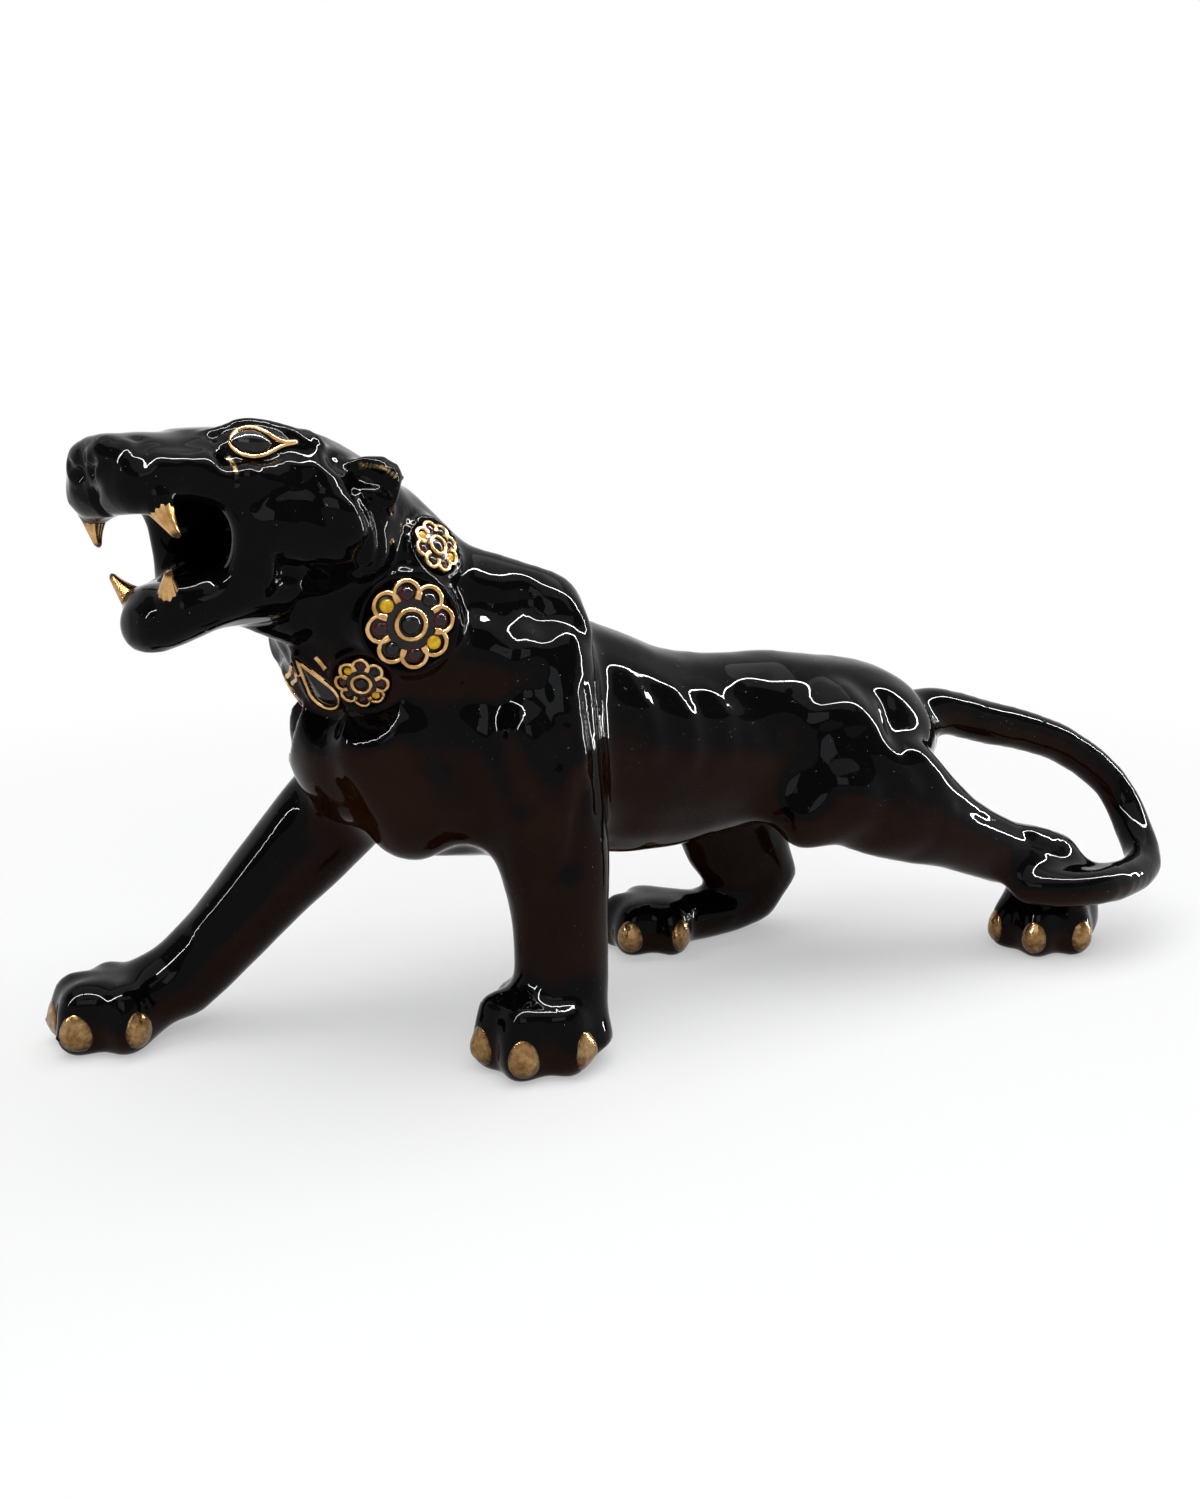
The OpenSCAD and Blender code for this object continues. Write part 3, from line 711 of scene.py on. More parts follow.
# the drop is a row of circles that narrows to its tip
def dropGap(x, y):
    r = pendantSet["radius"]
    reach = pendantSet["reach"]
    return np.min([np.hypot(x - reach * t, y) - r * (1 - t) for t in np.linspace(0, 1, 14)], axis=0)


def collarSeats():
    seats = [(neckSeat(*pendantSet["seat"], -1), dropGap)]
    for flower, t, angle in flowerSeats.values():
        seats += [(neckSeat(t, angle, side), roundGap(flower)) for side in (-1, 1)]
    return seats


def seatGaps(points, normals):
    gaps = []
    for seat, gapOf in collarSeats():
        local = localTo(points, seat)
        near = np.hypot(local[:, 0], local[:, 1]) < borderSet["across"]
        near &= np.abs(local[:, 2]) < borderSet["deep"]
        near &= normals @ np.array(seat.to_3x3())[:, 2] > borderSet["facing"]
        gaps.append(np.where(near, gapOf(local[:, 0], local[:, 1]), borderSet["none"]))
    return np.array(gaps)


def raiseBorders(points, normals):
    gaps = seatGaps(points, normals)
    weight = np.where(gaps < borderSet["limit"], np.exp(-np.maximum(gaps, -5) / borderSet["blend"]), 0)
    total = weight.sum(0)
    moved = np.zeros_like(points)
    for (seat, _), gap, share in zip(collarSeats(), gaps, weight):
        local = localTo(points, seat)
        ridge = np.exp(-((gap - borderSet["at"]) / borderSet["wide"]) ** 2)
        level = borderSet["bed"] + borderSet["high"] * ridge
        hold = fall(gap, borderSet["hold"], borderSet["reach"])
        local[:, 2] = level * hold + local[:, 2] * (1 - hold)
        matrix = np.array(seat)
        moved += (local * mm @ matrix[:3, :3].T + matrix[:3, 3]) * share[:, None]
    shaped = total > 0
    points[shaped] = moved[shaped] / total[shaped][:, None]


# modelling strokes, drawn over the view of the camera and carried to the other side

def treeOf(piece):
    mesh = piece.data
    return BVHTree.FromPolygons([v.co for v in mesh.vertices], [p.vertices for p in mesh.polygons])


def viewWay(u, v):
    wide, high = cameraSet["frame"]
    focus = max(wide, high) * cameraSet["lens"] / cameraSet["sensor"]
    return camera.matrix_world.to_3x3() @ Vector(((u - wide / 2) / focus, (high / 2 - v) / focus, -1))


def strung(hits):
    hits = [(np.array(hit[0]), np.array(hit[1])) for hit in hits if hit[0] is not None]
    path, ways = [], []
    for i in range(len(hits) - 1):
        before = hits[max(i - 1, 0)][0]
        after = hits[min(i + 2, len(hits) - 1)][0]
        a, b = hits[i][0], hits[i + 1][0]
        for t in np.linspace(0, 1, 12, endpoint=False):
            path.append(between(before, a, b, after, t))
            ways.append(hits[i][1] * (1 - t) + hits[i + 1][1] * t)
    path.append(hits[-1][0])
    ways.append(hits[-1][1])
    return np.array(path), np.array(ways)


def seen(tree, pixels):
    eye = camera.matrix_world.translation
    return [tree.ray_cast(eye, viewWay(u, v).normalized()) for u, v in pixels]


def drawn(tree, pixels):
    return strung(seen(tree, pixels))


# the same from places in the head's own frame, for what the camera can't see
def drawnOnHead(tree, spots):
    return strung([tree.find_nearest(onHead(spot, 1)) for spot in spots])


def mirrored(path, ways):
    local = headLocal(path)
    local[:, 1] *= -1
    turn = np.array(headTurn.to_3x3())
    pivot = np.array(headSet["pivot"])
    moved = (local - pivot) * mm @ turn.T + np.array(headFrame.translation)
    flipped = ways @ turn
    flipped[:, 1] *= -1
    return moved, flipped @ turn.T


def press(points, normals, path, ways, width, height):
    low = path.min(0) - width
    high = path.max(0) + width
    near = np.flatnonzero(((points > low) & (points < high)).all(1))
    if len(near) == 0:
        return
    gap = spans(points[near], path)
    closest = gap.argmin(1)
    fade = np.clip(1 - (gap.min(1) / width) ** 2, 0, 1) ** 2
    facing = np.clip((normals[near] * ways[closest]).sum(1), 0, 1)
    points[near] += normals[near] * (height * fade * facing)[:, None]


# pixels of the photograph's frame, width and height in mm; a groove has a height below zero
headStrokes = {
    "brow": ([(208, 432), (228, 424), (252, 421), (280, 426), (304, 440)], 4.0, 1.0),
    "socket": ([(213, 436), (226, 430), (242, 426), (260, 425), (278, 431), (292, 437)], 3.4, -0.7),
    "tear pit": ([(211, 435), (218, 439), (226, 445)], 4.0, -0.8),
    "under lid": ([(228, 453), (240, 460), (254, 463), (272, 459), (290, 449)], 3.6, -0.6),
    "tear line": ([(226, 456), (231, 467), (235, 479)], 6.0, -2.0),
    "temple": ([(303, 448), (318, 449), (332, 462)], 8.5, -1.6),
    "cheekbone": ([(246, 476), (268, 471), (292, 467), (314, 468), (330, 484), (344, 508),
                   (355, 530)], 10.0, 3.0),
    "under bone": ([(270, 502), (294, 505), (320, 512)], 12.0, -2.0),
    "cheek": ([(276, 520), (300, 530), (318, 548)], 18.0, 1.6),
    "nose crease": ([(129, 432), (136, 440), (141, 452), (144, 463)], 4.2, -1.4),
    "nose wing": ([(98, 462), (110, 451), (124, 448)], 9.0, 2.0),
    "muzzle edge": ([(146, 461), (172, 461), (203, 461), (214, 467), (221, 475)], 6.0, 0.9),
    "whisker pad": ([(112, 488), (146, 483), (182, 480), (208, 482)], 14.0, 2.2),
    "lower lip": ([(178, 590), (200, 581), (218, 569)], 5.0, 1.2),
    "under cheek": ([(250, 590), (290, 596), (330, 592), (354, 576)], 8.0, -0.9),
    "ruff fold one": ([(352, 494), (361, 510), (366, 535), (362, 556)], 3.4, -1.2),
    "ruff fold two": ([(366, 500), (375, 520), (379, 545), (374, 566)], 3.2, -0.9),
    "ruff roll": ([(360, 500), (369, 517), (373, 542), (368, 562)], 3.2, 0.7),
    "ear cup": ([(361, 475), (375, 481), (390, 489)], 6.5, -3.4),
    "ear rim": ([(350, 463), (364, 461), (380, 464), (391, 469)], 3.0, 1.0),
}
# the same with places in the head's frame
noseStrokes = {
    "pad side": ([(-226, -12, 237), (-226, -7, 233), (-225, -1, 230)], 4.0, -0.6),
    "nostril": ([(-227, -5, 238), (-227, -7, 239), (-227, -8.5, 240.5)], 4.2, -3.2),
    "philtrum": ([(-225, 0, 231), (-223, 0, 227), (-222, 0, 222)], 3.2, -0.9),
}
bodyStrokes = {
    "shoulder front": ([(462, 600), (470, 640), (480, 690), (505, 750), (520, 800)], 11.0, -1.8),
    "shoulder point": ([(474, 658), (500, 651), (528, 645)], 17.0, 3.2),
    "under point": ([(470, 696), (500, 702), (532, 694)], 11.0, -1.6),
    "neck hollow": ([(456, 592), (466, 604), (477, 602)], 10.0, -2.2),
    "neck root": ([(496, 586), (502, 600), (506, 612)], 9.0, 1.6),
    "blade hollow": ([(530, 602), (535, 618), (538, 634)], 8.0, -1.7),
    "blade": ([(548, 596), (566, 600), (586, 628)], 10.0, 1.8),
    "rear fold": ([(584, 690), (591, 730), (596, 780), (598, 812)], 4.0, -1.2),
    "blade groove": ([(545, 620), (540, 670), (548, 720), (560, 760)], 7.0, -1.5),
    "triceps": ([(570, 640), (572, 700), (580, 760)], 9.0, 1.4),
    "upper arm": ([(520, 740), (540, 790), (552, 840)], 13.0, 1.5),
    "elbow groove": ([(584, 790), (575, 830), (570, 870)], 6.0, -1.3),
    "forearm": ([(565, 880), (560, 930), (556, 980)], 9.0, 1.1),
    "forearm groove": ([(540, 870), (538, 920), (535, 985)], 5.0, -1.1),
    "wrist groove": ([(530, 1000), (552, 1004), (580, 1000)], 5.0, -0.9),
    "rib one": ([(636, 690), (650, 720), (654, 752)], 8.0, 0.9),
    "rib two": ([(674, 692), (690, 722), (694, 756)], 8.0, 0.9),
    "rib three": ([(712, 694), (728, 724), (732, 756)], 8.0, 0.8),
    "flank hollow": ([(752, 700), (776, 732), (800, 768)], 14.0, -1.8),
    "hip": ([(842, 690), (858, 712), (870, 740)], 13.0, 1.6),
    "thigh groove": ([(884, 700), (900, 745), (928, 785)], 8.0, -1.4),
    "thigh": ([(850, 780), (880, 812), (915, 838)], 13.0, 1.4),
    "tendon": ([(960, 806), (996, 822), (1030, 836)], 4.5, -1.2),
    "hock": ([(1030, 830), (1050, 832), (1066, 842)], 4.5, 0.9),
    "hock groove": ([(1020, 845), (1040, 846), (1062, 857)], 3.4, -0.9),
    "far arm": ([(285, 810), (245, 868), (195, 925)], 8.0, 1.0),
    "far arm groove": ([(300, 840), (264, 885), (222, 930)], 5.0, -0.9),
}
# front of the muzzle that is refined, in the head's frame in mm
noseTip = {
    "front": -220.0,
    "wide": 12.0,
    "low": 224.0,
}
# edges rubbed round before the strokes: pixels, width in mm, passes
softEdges = {
    "mouth": ([(214, 490), (231, 508), (238, 535), (237, 556), (232, 575), (221, 593)], 15.0, 130),
    "ear": ([(358, 468), (376, 474), (394, 483), (399, 496)], 10.0, 24),
    "lip": ([(146, 516), (166, 510), (186, 504), (206, 494)], 5.0, 14),
}
# gold lines: pixels, width in mm
giltStrokes = {
    "ear": ([(361, 465), (374, 466), (386, 469), (396, 476)], 0.75),
    "tear gilt": ([(229, 458), (233, 464), (236, 471)], 0.9),
}


def figureMirrored(path, ways):
    flip = np.array([1, -1, 1])
    middle = np.array([0, 2 * placed((0, 0, 0)).y, 0])
    return path * flip + middle, ways * flip


points = readPoints(body)
local = headLocal(points)
onNose = ((local[:, 0] < noseTip["front"]) & (np.abs(local[:, 1]) < noseTip["wide"])
          & (local[:, 2] > noseTip["low"]))
nearSeat = seatGaps(points, readNormals(body)).min(0) < borderSet["reach"]
refine(body, (onNose | nearSeat).astype(float))
points = readPoints(body)
pairs = edgePairs(body)
points = relax(points, pairs, np.ones(len(points)), *relaxSet["seams"])
points[:, 2] = np.maximum(points[:, 2], 0)
writePoints(body, points)
print("body relaxed:", len(points), "points")
tree = treeOf(body)
for pixels, wide, passes in softEdges.values():
    path, ways = drawn(tree, pixels)
    weight = np.zeros(len(points))
    for edge in (path, mirrored(path, ways)[0]):
        gap = spans(points, edge[::4]).min(1)
        weight = np.maximum(weight, fall(gap, bodySet["softStart"] * wide * mm, wide * mm))
    points = relax(points, pairs, weight, passes, 0.5, 0.0)
writePoints(body, points)
normals = readNormals(body)
for strokes, draw, otherSide in ((headStrokes, drawn, mirrored), (noseStrokes, drawnOnHead, mirrored),
                                 (bodyStrokes, drawn, figureMirrored)):
    for spots, wide, high in strokes.values():
        near = draw(tree, spots)
        for path, ways in (near, otherSide(*near)):
            press(points, normals, path, ways, wide * mm, high * mm)
shift = Vector(waverSet["closeShift"])
broad = np.array([noise.noise(Vector(p) * waverSet["broad"]) for p in points])
close = np.array([noise.noise(Vector(p) * waverSet["close"] + shift) for p in points])
high, low = waverSet["soles"]
calm = fall(-points[:, 2], -high, -low) * (1 - waverSet["headCalm"] * headMask(points))
points += normals * ((broad + waverSet["closeShare"] * close) * waverSet["high"] * calm)[:, None]
raiseBorders(points, normals)
points = relax(points, pairs, np.ones(len(points)), *relaxSet["last"])
points[:, 2] = np.maximum(points[:, 2], 0)
writePoints(body, points)
tree = treeOf(body)
gilt = np.zeros(len(points))
for pixels, wide in giltStrokes.values():
    near = drawn(tree, pixels)
    for path in (near[0], mirrored(*near)[0]):
        gap = spans(points, path[::3]).min(1)
        gilt = np.maximum(gilt, fall(gap, bodySet["softStart"] * wide * mm, wide * mm))
writeMask(body, "gilt", gilt)
# painted reflection: a brownish tint on faces turned down, low on the figure
down = readNormals(body)[:, 2]
brown = fall(down, *reflectionTintSet["facing"]) * fall(points[:, 2], *reflectionTintSet["height"])
writeMask(body, "brown", reflectionTintSet["most"] * brown)
smoothShade(body)
finishPiece(body, "black_glaze", *castPieces)
print("body modelled")


# fangs: fluted, blunt and worn at the tip

def makeFang(name, fang, side):
    reach = fang["length"] * mm
    piece = addNew(bpy.ops.mesh.primitive_cylinder_add, name, vertices=40, radius=fang["radius"] * mm,
                   depth=reach, end_fill_type="TRIFAN")
    for step in range(1, fangSet["rings"]):
        level = reach * (step / fangSet["rings"] - 0.5)
        editAll(piece, bpy.ops.mesh.bisect, plane_co=(0, 0, level), plane_no=(0, 0, 1))
    editAll(piece, bpy.ops.mesh.normals_make_consistent, inside=False)
    shape = readPoints(piece)
    along = shape[:, 2] / reach + 0.5
    angle = np.arctan2(shape[:, 1], shape[:, 0])
    taper = 1.12 - 1.15 * along + 0.34 * along ** 2
    tip = np.sqrt(np.clip(1 - np.clip((along - 0.86) / 0.16, 0, 1) ** 2, 0, 1))
    groove = 0.5 + 0.5 * np.cos(fangSet["flutes"] * angle)
    flute = 1 - fangSet["fluteDeep"] * groove * (1 - 0.8 * along)
    shape[:, :2] *= (taper * tip * flute)[:, None]
    shape[:, 0] += fangSet["bend"] * mm * along ** 2
    shape[:, 2] = (along - fangSet["sunk"]) * reach
    writePoints(piece, shape)
    # darker at the worn tip, and darker down the flutes toward the root
    writeMask(piece, "worn", 0.75 * fall(-along, -1.0, -0.72) + 0.22 * groove * (1 - along))
    smoothShade(piece)
    setDown(piece, setAt(onHead(fang["root"], side), headWay(fang["lean"], side), headWay((1, 0, 0))))
    return piece


for label, side in sides.items():
    for row, fang in fangs.items():
        piece = makeFang(row + "Fang" + label.capitalize(), fang, side)
        finishPiece(piece, "gold_lustre", row + "_fang_" + label)
print("fangs set")


# eyes: a black almond in a piped gold line

eyeSet = {
    "centre": (250.5, 442.0),
    "front": (232.0, 441.0),
    "rear": (272.0, 444.0),
    "long": 15.2,
    "high": 9.2,
    "rise": 3.4,
    "sunk": 1.2,
    "line": 0.9,
    "lift": 0.3,
    "outline": [(230.5, 444), (232, 437), (237, 431), (246, 428), (256, 428.5), (265, 432.5),
                (273, 437.5), (280, 441), (288, 442.5), (296, 442.5), (288, 444.5), (280, 447),
                (272, 451.5), (263, 455.5), (253, 457), (244, 455.5), (236, 451.5), (232, 447.5)],
}


def goldWire(name, path, radius, closed, waver=0.12):
    curve = bpy.data.curves.new(name, "CURVE")
    curve.dimensions = "3D"
    spline = curve.splines.new("POLY")
    spline.points.add(len(path) - 1)
    for i, p in enumerate(path):
        spline.points[i].co = (*p, 1)
        spline.points[i].radius = 1 + waver * noise.noise(Vector(p) * 900)
    spline.use_cyclic_u = closed
    curve.bevel_depth = radius
    curve.bevel_resolution = 3
    curve.use_fill_caps = True
    piece = bpy.data.objects.new(name, curve)
    scene.collection.objects.link(piece)
    makeActive(piece)
    bpy.ops.object.convert(target="MESH")
    piece = bpy.context.object
    bpy.ops.object.shade_smooth()
    writeMask(piece, "worn", np.zeros(len(piece.data.vertices)))
    return piece


def almondHalf(x, long, high):
    r = (long * long / 4 + high * high / 4) / high
    return np.sqrt(np.maximum(r * r - x * x, 0)) - (r - high / 2)


def makeEye(label, spots, outline):
    name = "eye" + label.capitalize()
    (centre, front, rear), (normal, *others) = spots
    normal = Vector(normal + sum(others)).normalized()
    along = Vector(rear - front)
    seat = setAt(Vector(centre) - normal * eyeSet["sunk"] * mm, normal, along)
    ball = addNew(bpy.ops.mesh.primitive_uv_sphere_add, name, segments=48, ring_count=32, radius=1)
    shape = readPoints(ball)
    x = shape[:, 0] * eyeSet["long"] / 2
    girth = np.sqrt(np.maximum(1 - shape[:, 0] ** 2, 1e-6))
    shape[:, 1] *= np.maximum(almondHalf(x, eyeSet["long"], eyeSet["high"]), 0) / girth
    shape[:, 2] *= eyeSet["rise"]
    shape[:, 0] = x
    writePoints(ball, shape * mm)
    smoothShade(ball)
    setDown(ball, seat)
    finishPiece(ball, "black_enamel", "eye_" + label)
    path = outline[0][:-1]
    for _ in range(4):
        path = (np.roll(path, 1, 0) + 2 * path + np.roll(path, -1, 0)) / 4
    path = [Vector(p) + normal * eyeSet["lift"] * mm for p in path]
    line = goldWire(name + "Line", path, eyeSet["line"] * mm, True)
    finishPiece(line, "gold_lustre", "eye_line_" + label)


hits = seen(tree, [eyeSet["centre"], eyeSet["front"], eyeSet["rear"]])
eyeSpots = (np.array([hit[0] for hit in hits]), np.array([hit[1] for hit in hits]))
eyeOutline = drawn(tree, eyeSet["outline"] + eyeSet["outline"][:1])
makeEye("left", eyeSpots, eyeOutline)
makeEye("right", mirrored(*eyeSpots), mirrored(*eyeOutline))
print("eyes set")


# collar: flower medallions seated round the neck

flowerSet = {
    "lobes": 8,
    "first": 10.0,
    "reach": 0.7,
    "rise": 2.7,
    "drop": 1.2,
    "skirt": 0.9,
    "edge": 0.86,
    "edgeDrop": 3.2,
    "thick": 1.5,
    "sweep": 124.0,
    "arcLift": 0.35,
    "ringLift": 0.4,
    "ringLine": 1.1,
    "stoneHigh": 0.62,
    "cabochonHigh": 0.6,
    "yellow": (0, 4),
    "red": (1, 3, 5, 7),
    "black": (2, 6),
}


def domeHeight(flower, x, y):
    return flowerSet["rise"] - flowerSet["drop"] * (x * x + y * y) / flower["radius"] ** 2


def lobeMiddle(flower, k):
    a = math.radians(flowerSet["first"] + 360 * k / flowerSet["lobes"])
    reach = flowerSet["reach"] * flower["radius"]
    return reach * math.cos(a), reach * math.sin(a), a


def roundPlate(name, count, cuts):
    plate = addNew(bpy.ops.mesh.primitive_circle_add, name, vertices=count, radius=1, fill_type="TRIFAN")
    editAll(plate, bpy.ops.mesh.subdivide, number_cuts=cuts)
    return plate


def flowerGround(flower):
    piece = roundPlate("ground", 144, 7)
    shape = readPoints(piece)
    r = np.hypot(shape[:, 0], shape[:, 1])
    angle = np.arctan2(shape[:, 1], shape[:, 0]) - math.radians(flowerSet["first"])
    step = 2 * math.pi / flowerSet["lobes"]
    off = (angle + step / 2) % step - step / 2
    reach = flowerSet["reach"] * flower["radius"]
    lobe = flower["radius"] - reach + flowerSet["skirt"]
    edge = reach * np.cos(off) + np.sqrt(np.maximum(lobe ** 2 - (reach * np.sin(off)) ** 2, 0))
    r = np.minimum(r, 1)
    scale = np.where(r > 0, edge, 0)
    shape[:, 0] *= scale
    shape[:, 1] *= scale
    fallOff = np.clip((r - flowerSet["edge"]) / (1 - flowerSet["edge"]), 0, 1)
    shape[:, 2] = domeHeight(flower, shape[:, 0], shape[:, 1]) - flowerSet["edgeDrop"] * fallOff ** 2
    writePoints(piece, shape * mm)
    addAndApply(piece, "SOLIDIFY", thickness=flowerSet["thick"] * mm, offset=-1)
    smoothShade(piece)
    return piece


def onDome(flower, x, y, radius, angles, lift):
    spots = [(x + radius * math.cos(s), y + radius * math.sin(s)) for s in angles]
    return [Vector((px, py, domeHeight(flower, px, py) + lift)) * mm for px, py in spots]


def flowerTracery(flower):
    parts = []
    lobe = flower["radius"] - flowerSet["reach"] * flower["radius"]
    half = math.radians(flowerSet["sweep"])
    for k in range(flowerSet["lobes"]):
        x, y, a = lobeMiddle(flower, k)
        path = onDome(flower, x, y, lobe, np.linspace(a - half, a + half, 23), flowerSet["arcLift"])
        parts.append(goldWire("arc", path, flower["line"] * mm, False))
    around = np.linspace(0, 2 * math.pi, 33)[:-1]
    path = onDome(flower, 0, 0, flower["ring"], around, flowerSet["ringLift"])
    parts.append(goldWire("ring", path, flowerSet["ringLine"] * flower["line"] * mm, True))
    return joinAll(parts, flower["name"] + "Tracery")


def flowerStone(flower, spots, radius, high):
    stones = []
    for x, y in spots:
        stone = addNew(bpy.ops.mesh.primitive_uv_sphere_add, "stone", segments=24, ring_count=16,
                       radius=radius * mm)
        writeMask(stone, "rim", 1 - np.abs(readPoints(stone)[:, 2]) / (radius * mm))
        stone.scale = (1, 1, high)
        stone.location = (x * mm, y * mm, domeHeight(flower, x, y) * mm)
        applyPlace()
        bpy.ops.object.shade_smooth()
        stones.append(stone)
    return stones


stonePiles = {"yellow": [], "red": [], "black": []}
patterns = []
for flower in (largeFlower, smallFlower):
    flower["ground"] = flowerGround(flower)
    flower["tracery"] = flowerTracery(flower)
    patterns += [flower["ground"], flower["tracery"]]
    for color in stonePiles:
        spots = [lobeMiddle(flower, k)[:2] for k in flowerSet[color]]
        stones = flowerStone(flower, spots, flower["stone"], flowerSet["stoneHigh"])
        if color == "black":
            stones += flowerStone(flower, [(0, 0)], flower["cabochon"], flowerSet["cabochonHigh"])
        flower[color] = joinAll(stones, flower["name"] + color)
        patterns.append(flower[color])
for place, (flower, t, angle) in flowerSeats.items():
    for label, side in sides.items():
        seat = neckSeat(t, angle, side)
        ground = copyPiece(flower["ground"], place + "Medallion" + label.capitalize())
        setDown(ground, seat)
        finishPiece(ground, "dark_glaze", place + "_medallion_" + label)
        tracery = copyPiece(flower["tracery"], place + "Tracery" + label.capitalize())
        setDown(tracery, seat)
        finishPiece(tracery, "gold_lustre", place + "_tracery_" + label)
        for color in stonePiles:
            stone = copyPiece(flower[color], place + color + label)
            setDown(stone, seat)
            stonePiles[color].append(stone)
for pattern in patterns:
    bpy.data.objects.remove(pattern)
for color, pile in stonePiles.items():
    finishPiece(joinAll(pile, color + "Stones"), color + "_enamel", color + "_stones")
print("collar set")


# throat pendant: a dark drop in a piped gold rim, with gold strands to the throat medallions

def dropOutline(grow):
    r = pendantSet["radius"] + grow
    reach = pendantSet["reach"] + grow
    shoulder = math.acos(r / reach)
    arc = np.linspace(shoulder, 2 * math.pi - shoulder, 30)
    outline = [(r * math.cos(s), r * math.sin(s)) for s in arc]
    last = outline[-1]
    flank = [(last[0] + (reach - last[0]) * t, last[1] * (1 - t)) for t in np.linspace(0, 1, 8)[1:]]
    return outline + flank + [(x, -y) for x, y in flank[-2::-1]]


def makePendant():
    seat = neckSeat(*pendantSet["seat"], -1)
    outline = dropOutline(pendantSet["inset"])
    stone = addNew(bpy.ops.mesh.primitive_circle_add, "pendantDrop", vertices=len(outline), radius=1,
                   fill_type="TRIFAN")
    shape = readPoints(stone)
    rim = np.hypot(shape[:, 0], shape[:, 1]) > 0.5
    shape[rim] = [(x, y, 0) for x, y in outline]
    shape[~rim] = pendantSet["peak"]
    writePoints(stone, shape * mm)
    editAll(stone, bpy.ops.mesh.subdivide, number_cuts=5)
    shape = readPoints(stone) / mm
    inset = spans(shape[:, :2], np.array(outline)).min(1)
    shape[:, 2] = pendantSet["rise"] * np.sqrt(np.clip(inset / pendantSet["slope"], 0, 1))
    writePoints(stone, shape * mm)
    addAndApply(stone, "SOLIDIFY", thickness=pendantSet["thick"] * mm, offset=-1)
    smoothShade(stone)
    setDown(stone, seat)
    finishPiece(stone, "dark_glaze", "pendant")
    path = [seat @ (Vector((x, y, pendantSet["rimLift"])) * mm) for x, y in dropOutline(0)]
    rimWire = goldWire("pendantRim", path, pendantSet["line"] * mm, True)
    finishPiece(rimWire, "gold_lustre", "pendant_rim")
    strands = []
    for side in (-1, 1):
        for first, last, start, stop in pendantSet["strands"]:
            begin = neckAngle(pendantSet["seat"][1], -1)
            begin -= side * math.degrees(start / pendantSet["neckRadius"])
            end = neckAngle(flowerSeats["throat"][2], side)
            end += side * math.degrees(stop / pendantSet["neckRadius"])
            if side > 0:
                end -= 360
            path = []
            for t in np.linspace(0, 1, 17):
                spot = placed(neckSkin(first + (last - first) * t, begin + (end - begin) * t))
                path.append(tree.find_nearest(spot)[0])
            strands.append(goldWire("strand", path, pendantSet["strand"] * mm, False))
    finishPiece(joinAll(strands, "throatStrands"), "gold_lustre", "throat_strands")


makePendant()
print("pendant set")


# claws: gold ovals let into the toes

clawSet = {
    "long": 17.5,
    "wide": 13.2,
    "taper": 0.12,
    "crown": 1.1,
    "rim": 0.35,
    "thick": 1.6,
    "foot": 3.0,
    "lean": 0.2,
    "toes": (-78.0, -28.0, 28.0, 78.0),
    "toeRadius": 11.0,
    "pawLong": 67.0,
    "pawWide": 53.0,
    "castFrom": 25.0,
    "castTo": 36.0,
    "seatFrom": 60.0,
    "seatNear": 20.0,
}


# lays the oval on the toe, its rim sunk in the glaze
def layClaw(piece, seat):
    shape = readPoints(piece)
    across, high = shape[:, 0].copy(), shape[:, 1].copy()
    crown = 1 - np.hypot(across, high) ** 4
    out = seat.col[0].to_3d()
    for i in range(len(shape)):
        wide = across[i] * (1 - clawSet["taper"] * high[i]) * clawSet["wide"] / 2
        spot = seat @ (Vector((0, wide, high[i] * clawSet["long"] / 2)) * mm)
        hit, normal, _, reach = tree.ray_cast(spot + out * clawSet["castFrom"] * mm, -out)
        if hit is None or reach > clawSet["castTo"] * mm:
            hit, normal = tree.find_nearest(spot)[:2]
        shape[i] = hit + normal * (clawSet["crown"] * crown[i] - clawSet["rim"]) * mm
    writePoints(piece, shape)
    # worn patches over the whole claw, plus painted shade: darker toward the lower half and at the rim
    writeMask(piece, "worn", 0.31 + 0.12 * np.clip(-high, 0, 1) + 0.3 * np.hypot(across, high) ** 6)
    addAndApply(piece, "SOLIDIFY", thickness=clawSet["thick"] * mm, offset=-1)
    smoothShade(piece)


def clawSeat(paw, angle):
    x, y, turn, roll = paw
    angle += roll
    a = math.radians(angle)
    t = math.radians(-turn)
    along = -(clawSet["pawLong"] / 2 - clawSet["toeRadius"]) * math.cos(a)
    across = (clawSet["pawWide"] / 2 - clawSet["toeRadius"]) * math.sin(a)
    tip = Vector((x + along * math.cos(t) - across * math.sin(t),
                  y + along * math.sin(t) + across * math.cos(t), 0))
    facing = math.radians(angle + turn)
    out = Vector((-math.cos(facing), math.sin(facing), 0))
    lift = Vector((0, 0, clawSet["long"] / 2 + clawSet["foot"]))
    spot = placed(tip + out * clawSet["seatFrom"] + lift)
    hit = tree.ray_cast(spot, -out)[0]
    if hit is None or (hit - placed(tip + lift)).length > clawSet["seatNear"] * mm:
        hit = placed(tip + out * clawSet["toeRadius"] + lift)
    return setAt(hit, Vector((0, 0, 1)) - out * clawSet["lean"], out)


clawPattern = roundPlate("clawPattern", 36, 5)
for pawName, paw in pawSeats.items():
    claws = []
    for angle in clawSet["toes"]:
        claw = copyPiece(clawPattern, "claw")
        layClaw(claw, clawSeat(paw, angle))
        claws.append(claw)
    label = "".join(word.capitalize() for word in pawName.split("_"))
    finishPiece(joinAll(claws, "claws" + label), "gold_lustre", "claws_" + pawName)
bpy.data.objects.remove(clawPattern)
print("claws set")


# studio

studioSet = {
    "paper": (0.95, 0.95, 0.95),
    "fill": 0.3,
    "floor": 6.0,
    "fadeNear": 0.4,
    "fadeStart": 0.2,
    "fadeEnd": 0.9,
}
# radius, depth and middle height of the paper round the stage
wallSet = {
    "backdrop": (5.8, 9.0, 4.4),
    "screen": (5.9, 2.6, 1.3),
}
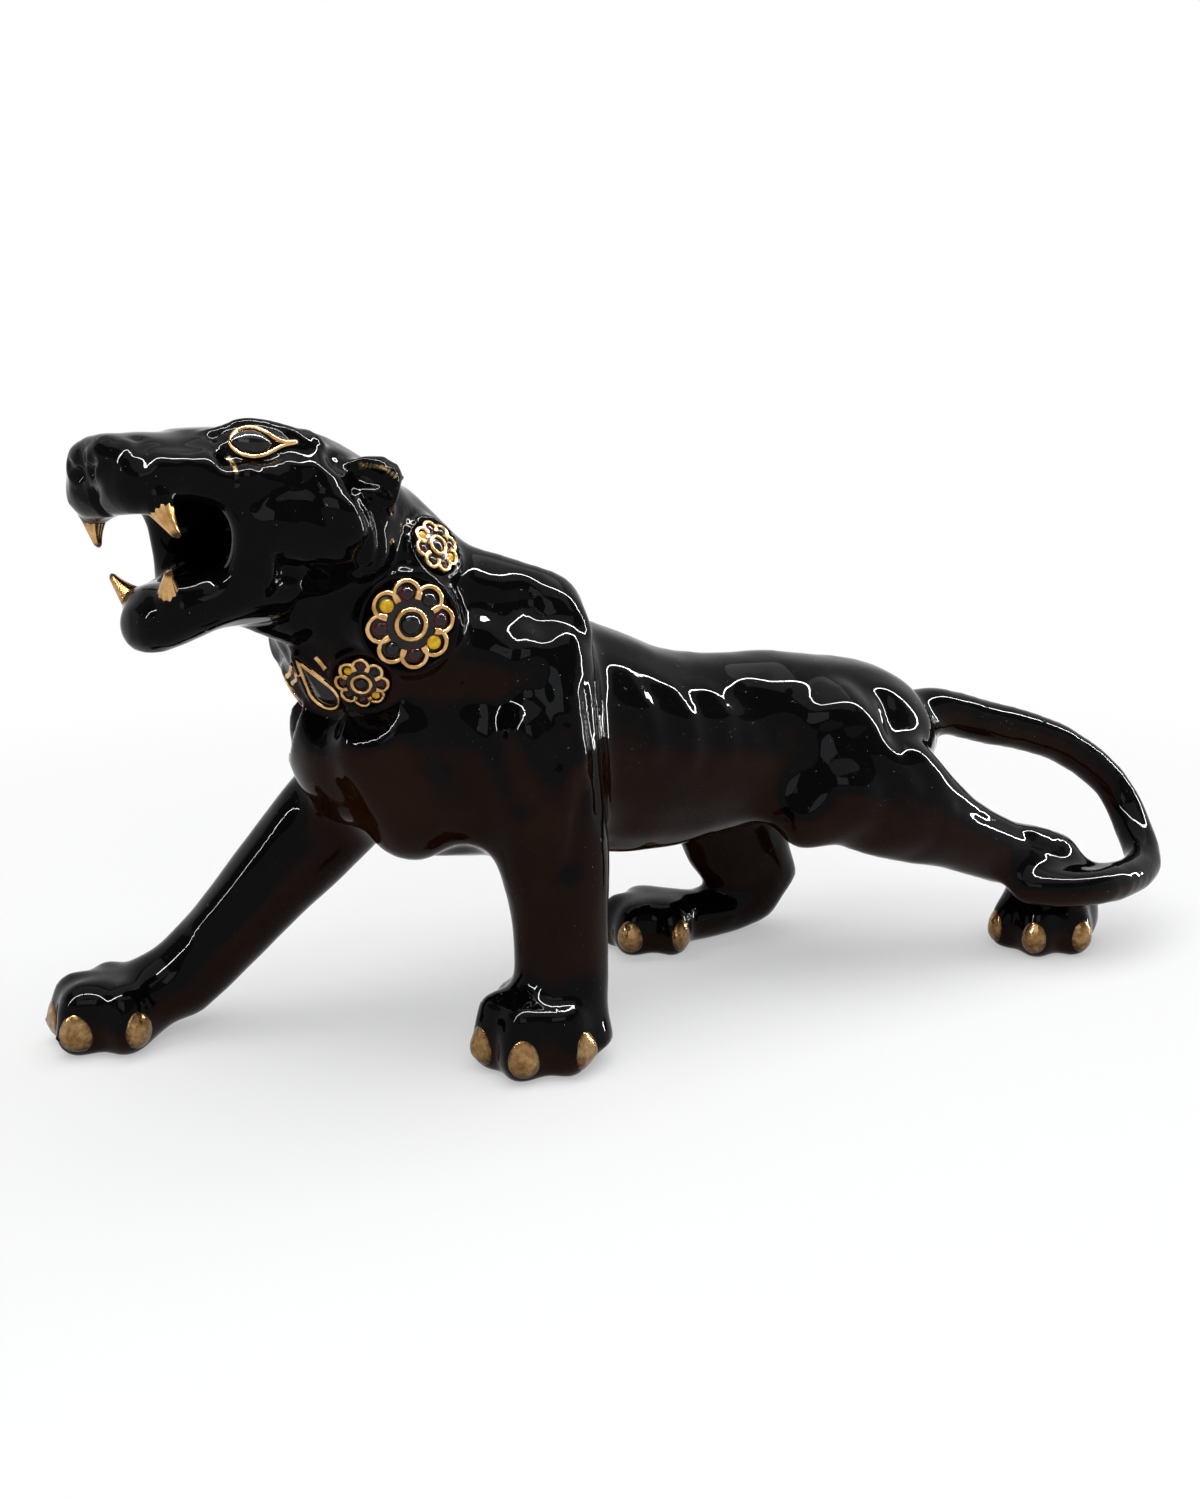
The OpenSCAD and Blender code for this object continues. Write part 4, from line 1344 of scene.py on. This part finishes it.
# place, size, power and what it faces
lampSet = {
    "skyPanel": ((0.0, -0.25, 1.9), (3.0, 2.4), 40.0, None),
    "tubeLight": ((-0.6, -0.3, 1.3), (5.2, 0.045), 260.0, None),
    "sideTube": ((2.0, -0.3, 0.66), (0.045, 1.2), 45.0, (0, -0.3, 0.66)),
    "softBox": ((-0.75, -1.35, 1.15), (0.9, 0.55), 5.0, (-0.05, 0, 0.12)),
}
boxColor = (0.88, 0.95, 1.0)


def seenRays(net):
    rays = net[0].new("ShaderNodeLightPath").outputs
    seenOrGlossy = combine(net, "MAXIMUM", rays["Is Camera Ray"], rays["Is Glossy Ray"])
    return combine(net, "MAXIMUM", seenOrGlossy, rays["Is Transmission Ray"])


# white paper that keeps the shadow near the figure and is plain white further off
def makePaper(name, faded):
    white = (*studioSet["paper"], 1)
    material, net = newMaterial(name, color=white, rough=0.9, specular=0.0)
    nodes, links = net
    factor = seenRays(net)
    if faded:
        coordinates = nodes.new("ShaderNodeTexCoord")
        away = nodes.new("ShaderNodeVectorMath")
        away.operation = "LENGTH"
        links.new(coordinates.outputs["Object"], away.inputs[0])
        fade = nodes.new("ShaderNodeMapRange")
        fade.interpolation_type = "SMOOTHSTEP"
        fade.inputs["From Min"].default_value = studioSet["fadeStart"]
        fade.inputs["From Max"].default_value = studioSet["fadeEnd"]
        fade.inputs["To Min"].default_value = studioSet["fadeNear"]
        links.new(away.outputs["Value"], fade.inputs["Value"])
        factor = combine(net, "MULTIPLY", factor, fade.outputs["Result"])
    glow = nodes.new("ShaderNodeEmission")
    glow.inputs["Color"].default_value = (1, 1, 1, 1)
    glow.inputs["Strength"].default_value = 1.0
    mix = nodes.new("ShaderNodeMixShader")
    links.new(factor, mix.inputs["Fac"])
    links.new(nodes["Principled BSDF"].outputs["BSDF"], mix.inputs[1])
    links.new(glow.outputs["Emission"], mix.inputs[2])
    links.new(mix.outputs["Shader"], nodes["Material Output"].inputs["Surface"])
    return material


# a lamp without a target faces straight down
def addArea(name, place, size, power, target):
    lamp = addNew(bpy.ops.object.light_add, name, type="AREA", location=place)
    lamp.data.shape = "RECTANGLE"
    lamp.data.size, lamp.data.size_y = size
    lamp.data.energy = power
    if target:
        lamp.rotation_euler = (Vector(target) - Vector(place)).to_track_quat("-Z", "Y").to_euler()
    return lamp


def addWall(name, paper):
    radius, depth, high = wallSet[name]
    wall = addNew(bpy.ops.mesh.primitive_cylinder_add, name, vertices=96, radius=radius, depth=depth,
                  end_fill_type="NOTHING", location=(0, 0, high))
    wall.data.materials.append(paper)
    return wall


floor = addNew(bpy.ops.mesh.primitive_circle_add, "floor", vertices=128, radius=studioSet["floor"],
               fill_type="NGON")
floor.data.materials.append(makePaper("floorPaper", True))
wallPaper = makePaper("wallPaper", False)
backdrop = addWall("backdrop", wallPaper)
editAll(backdrop, bpy.ops.mesh.bisect, plane_co=(0.6, 1.0, 0), plane_no=(0.49, 0.87, 0),
        clear_inner=True)
# a low screen all round, behind the camera too, that takes no light from the fill
addWall("screen", wallPaper).visible_diffuse = False
world = bpy.data.worlds.new("studio")
scene.world = world
world.use_nodes = True
background = world.node_tree.nodes["Background"]
background.inputs["Color"].default_value = (1, 1, 1, 1)
background.inputs["Strength"].default_value = studioSet["fill"]
lamps = {name: addArea(name, *lamp) for name, lamp in lampSet.items()}
lamps["softBox"].data.color = boxColor
# thin tubes drawn only in the gloss
for name in ("tubeLight", "sideTube"):
    lamps[name].visible_diffuse = False
    lamps[name].visible_camera = False
print("studio lit")
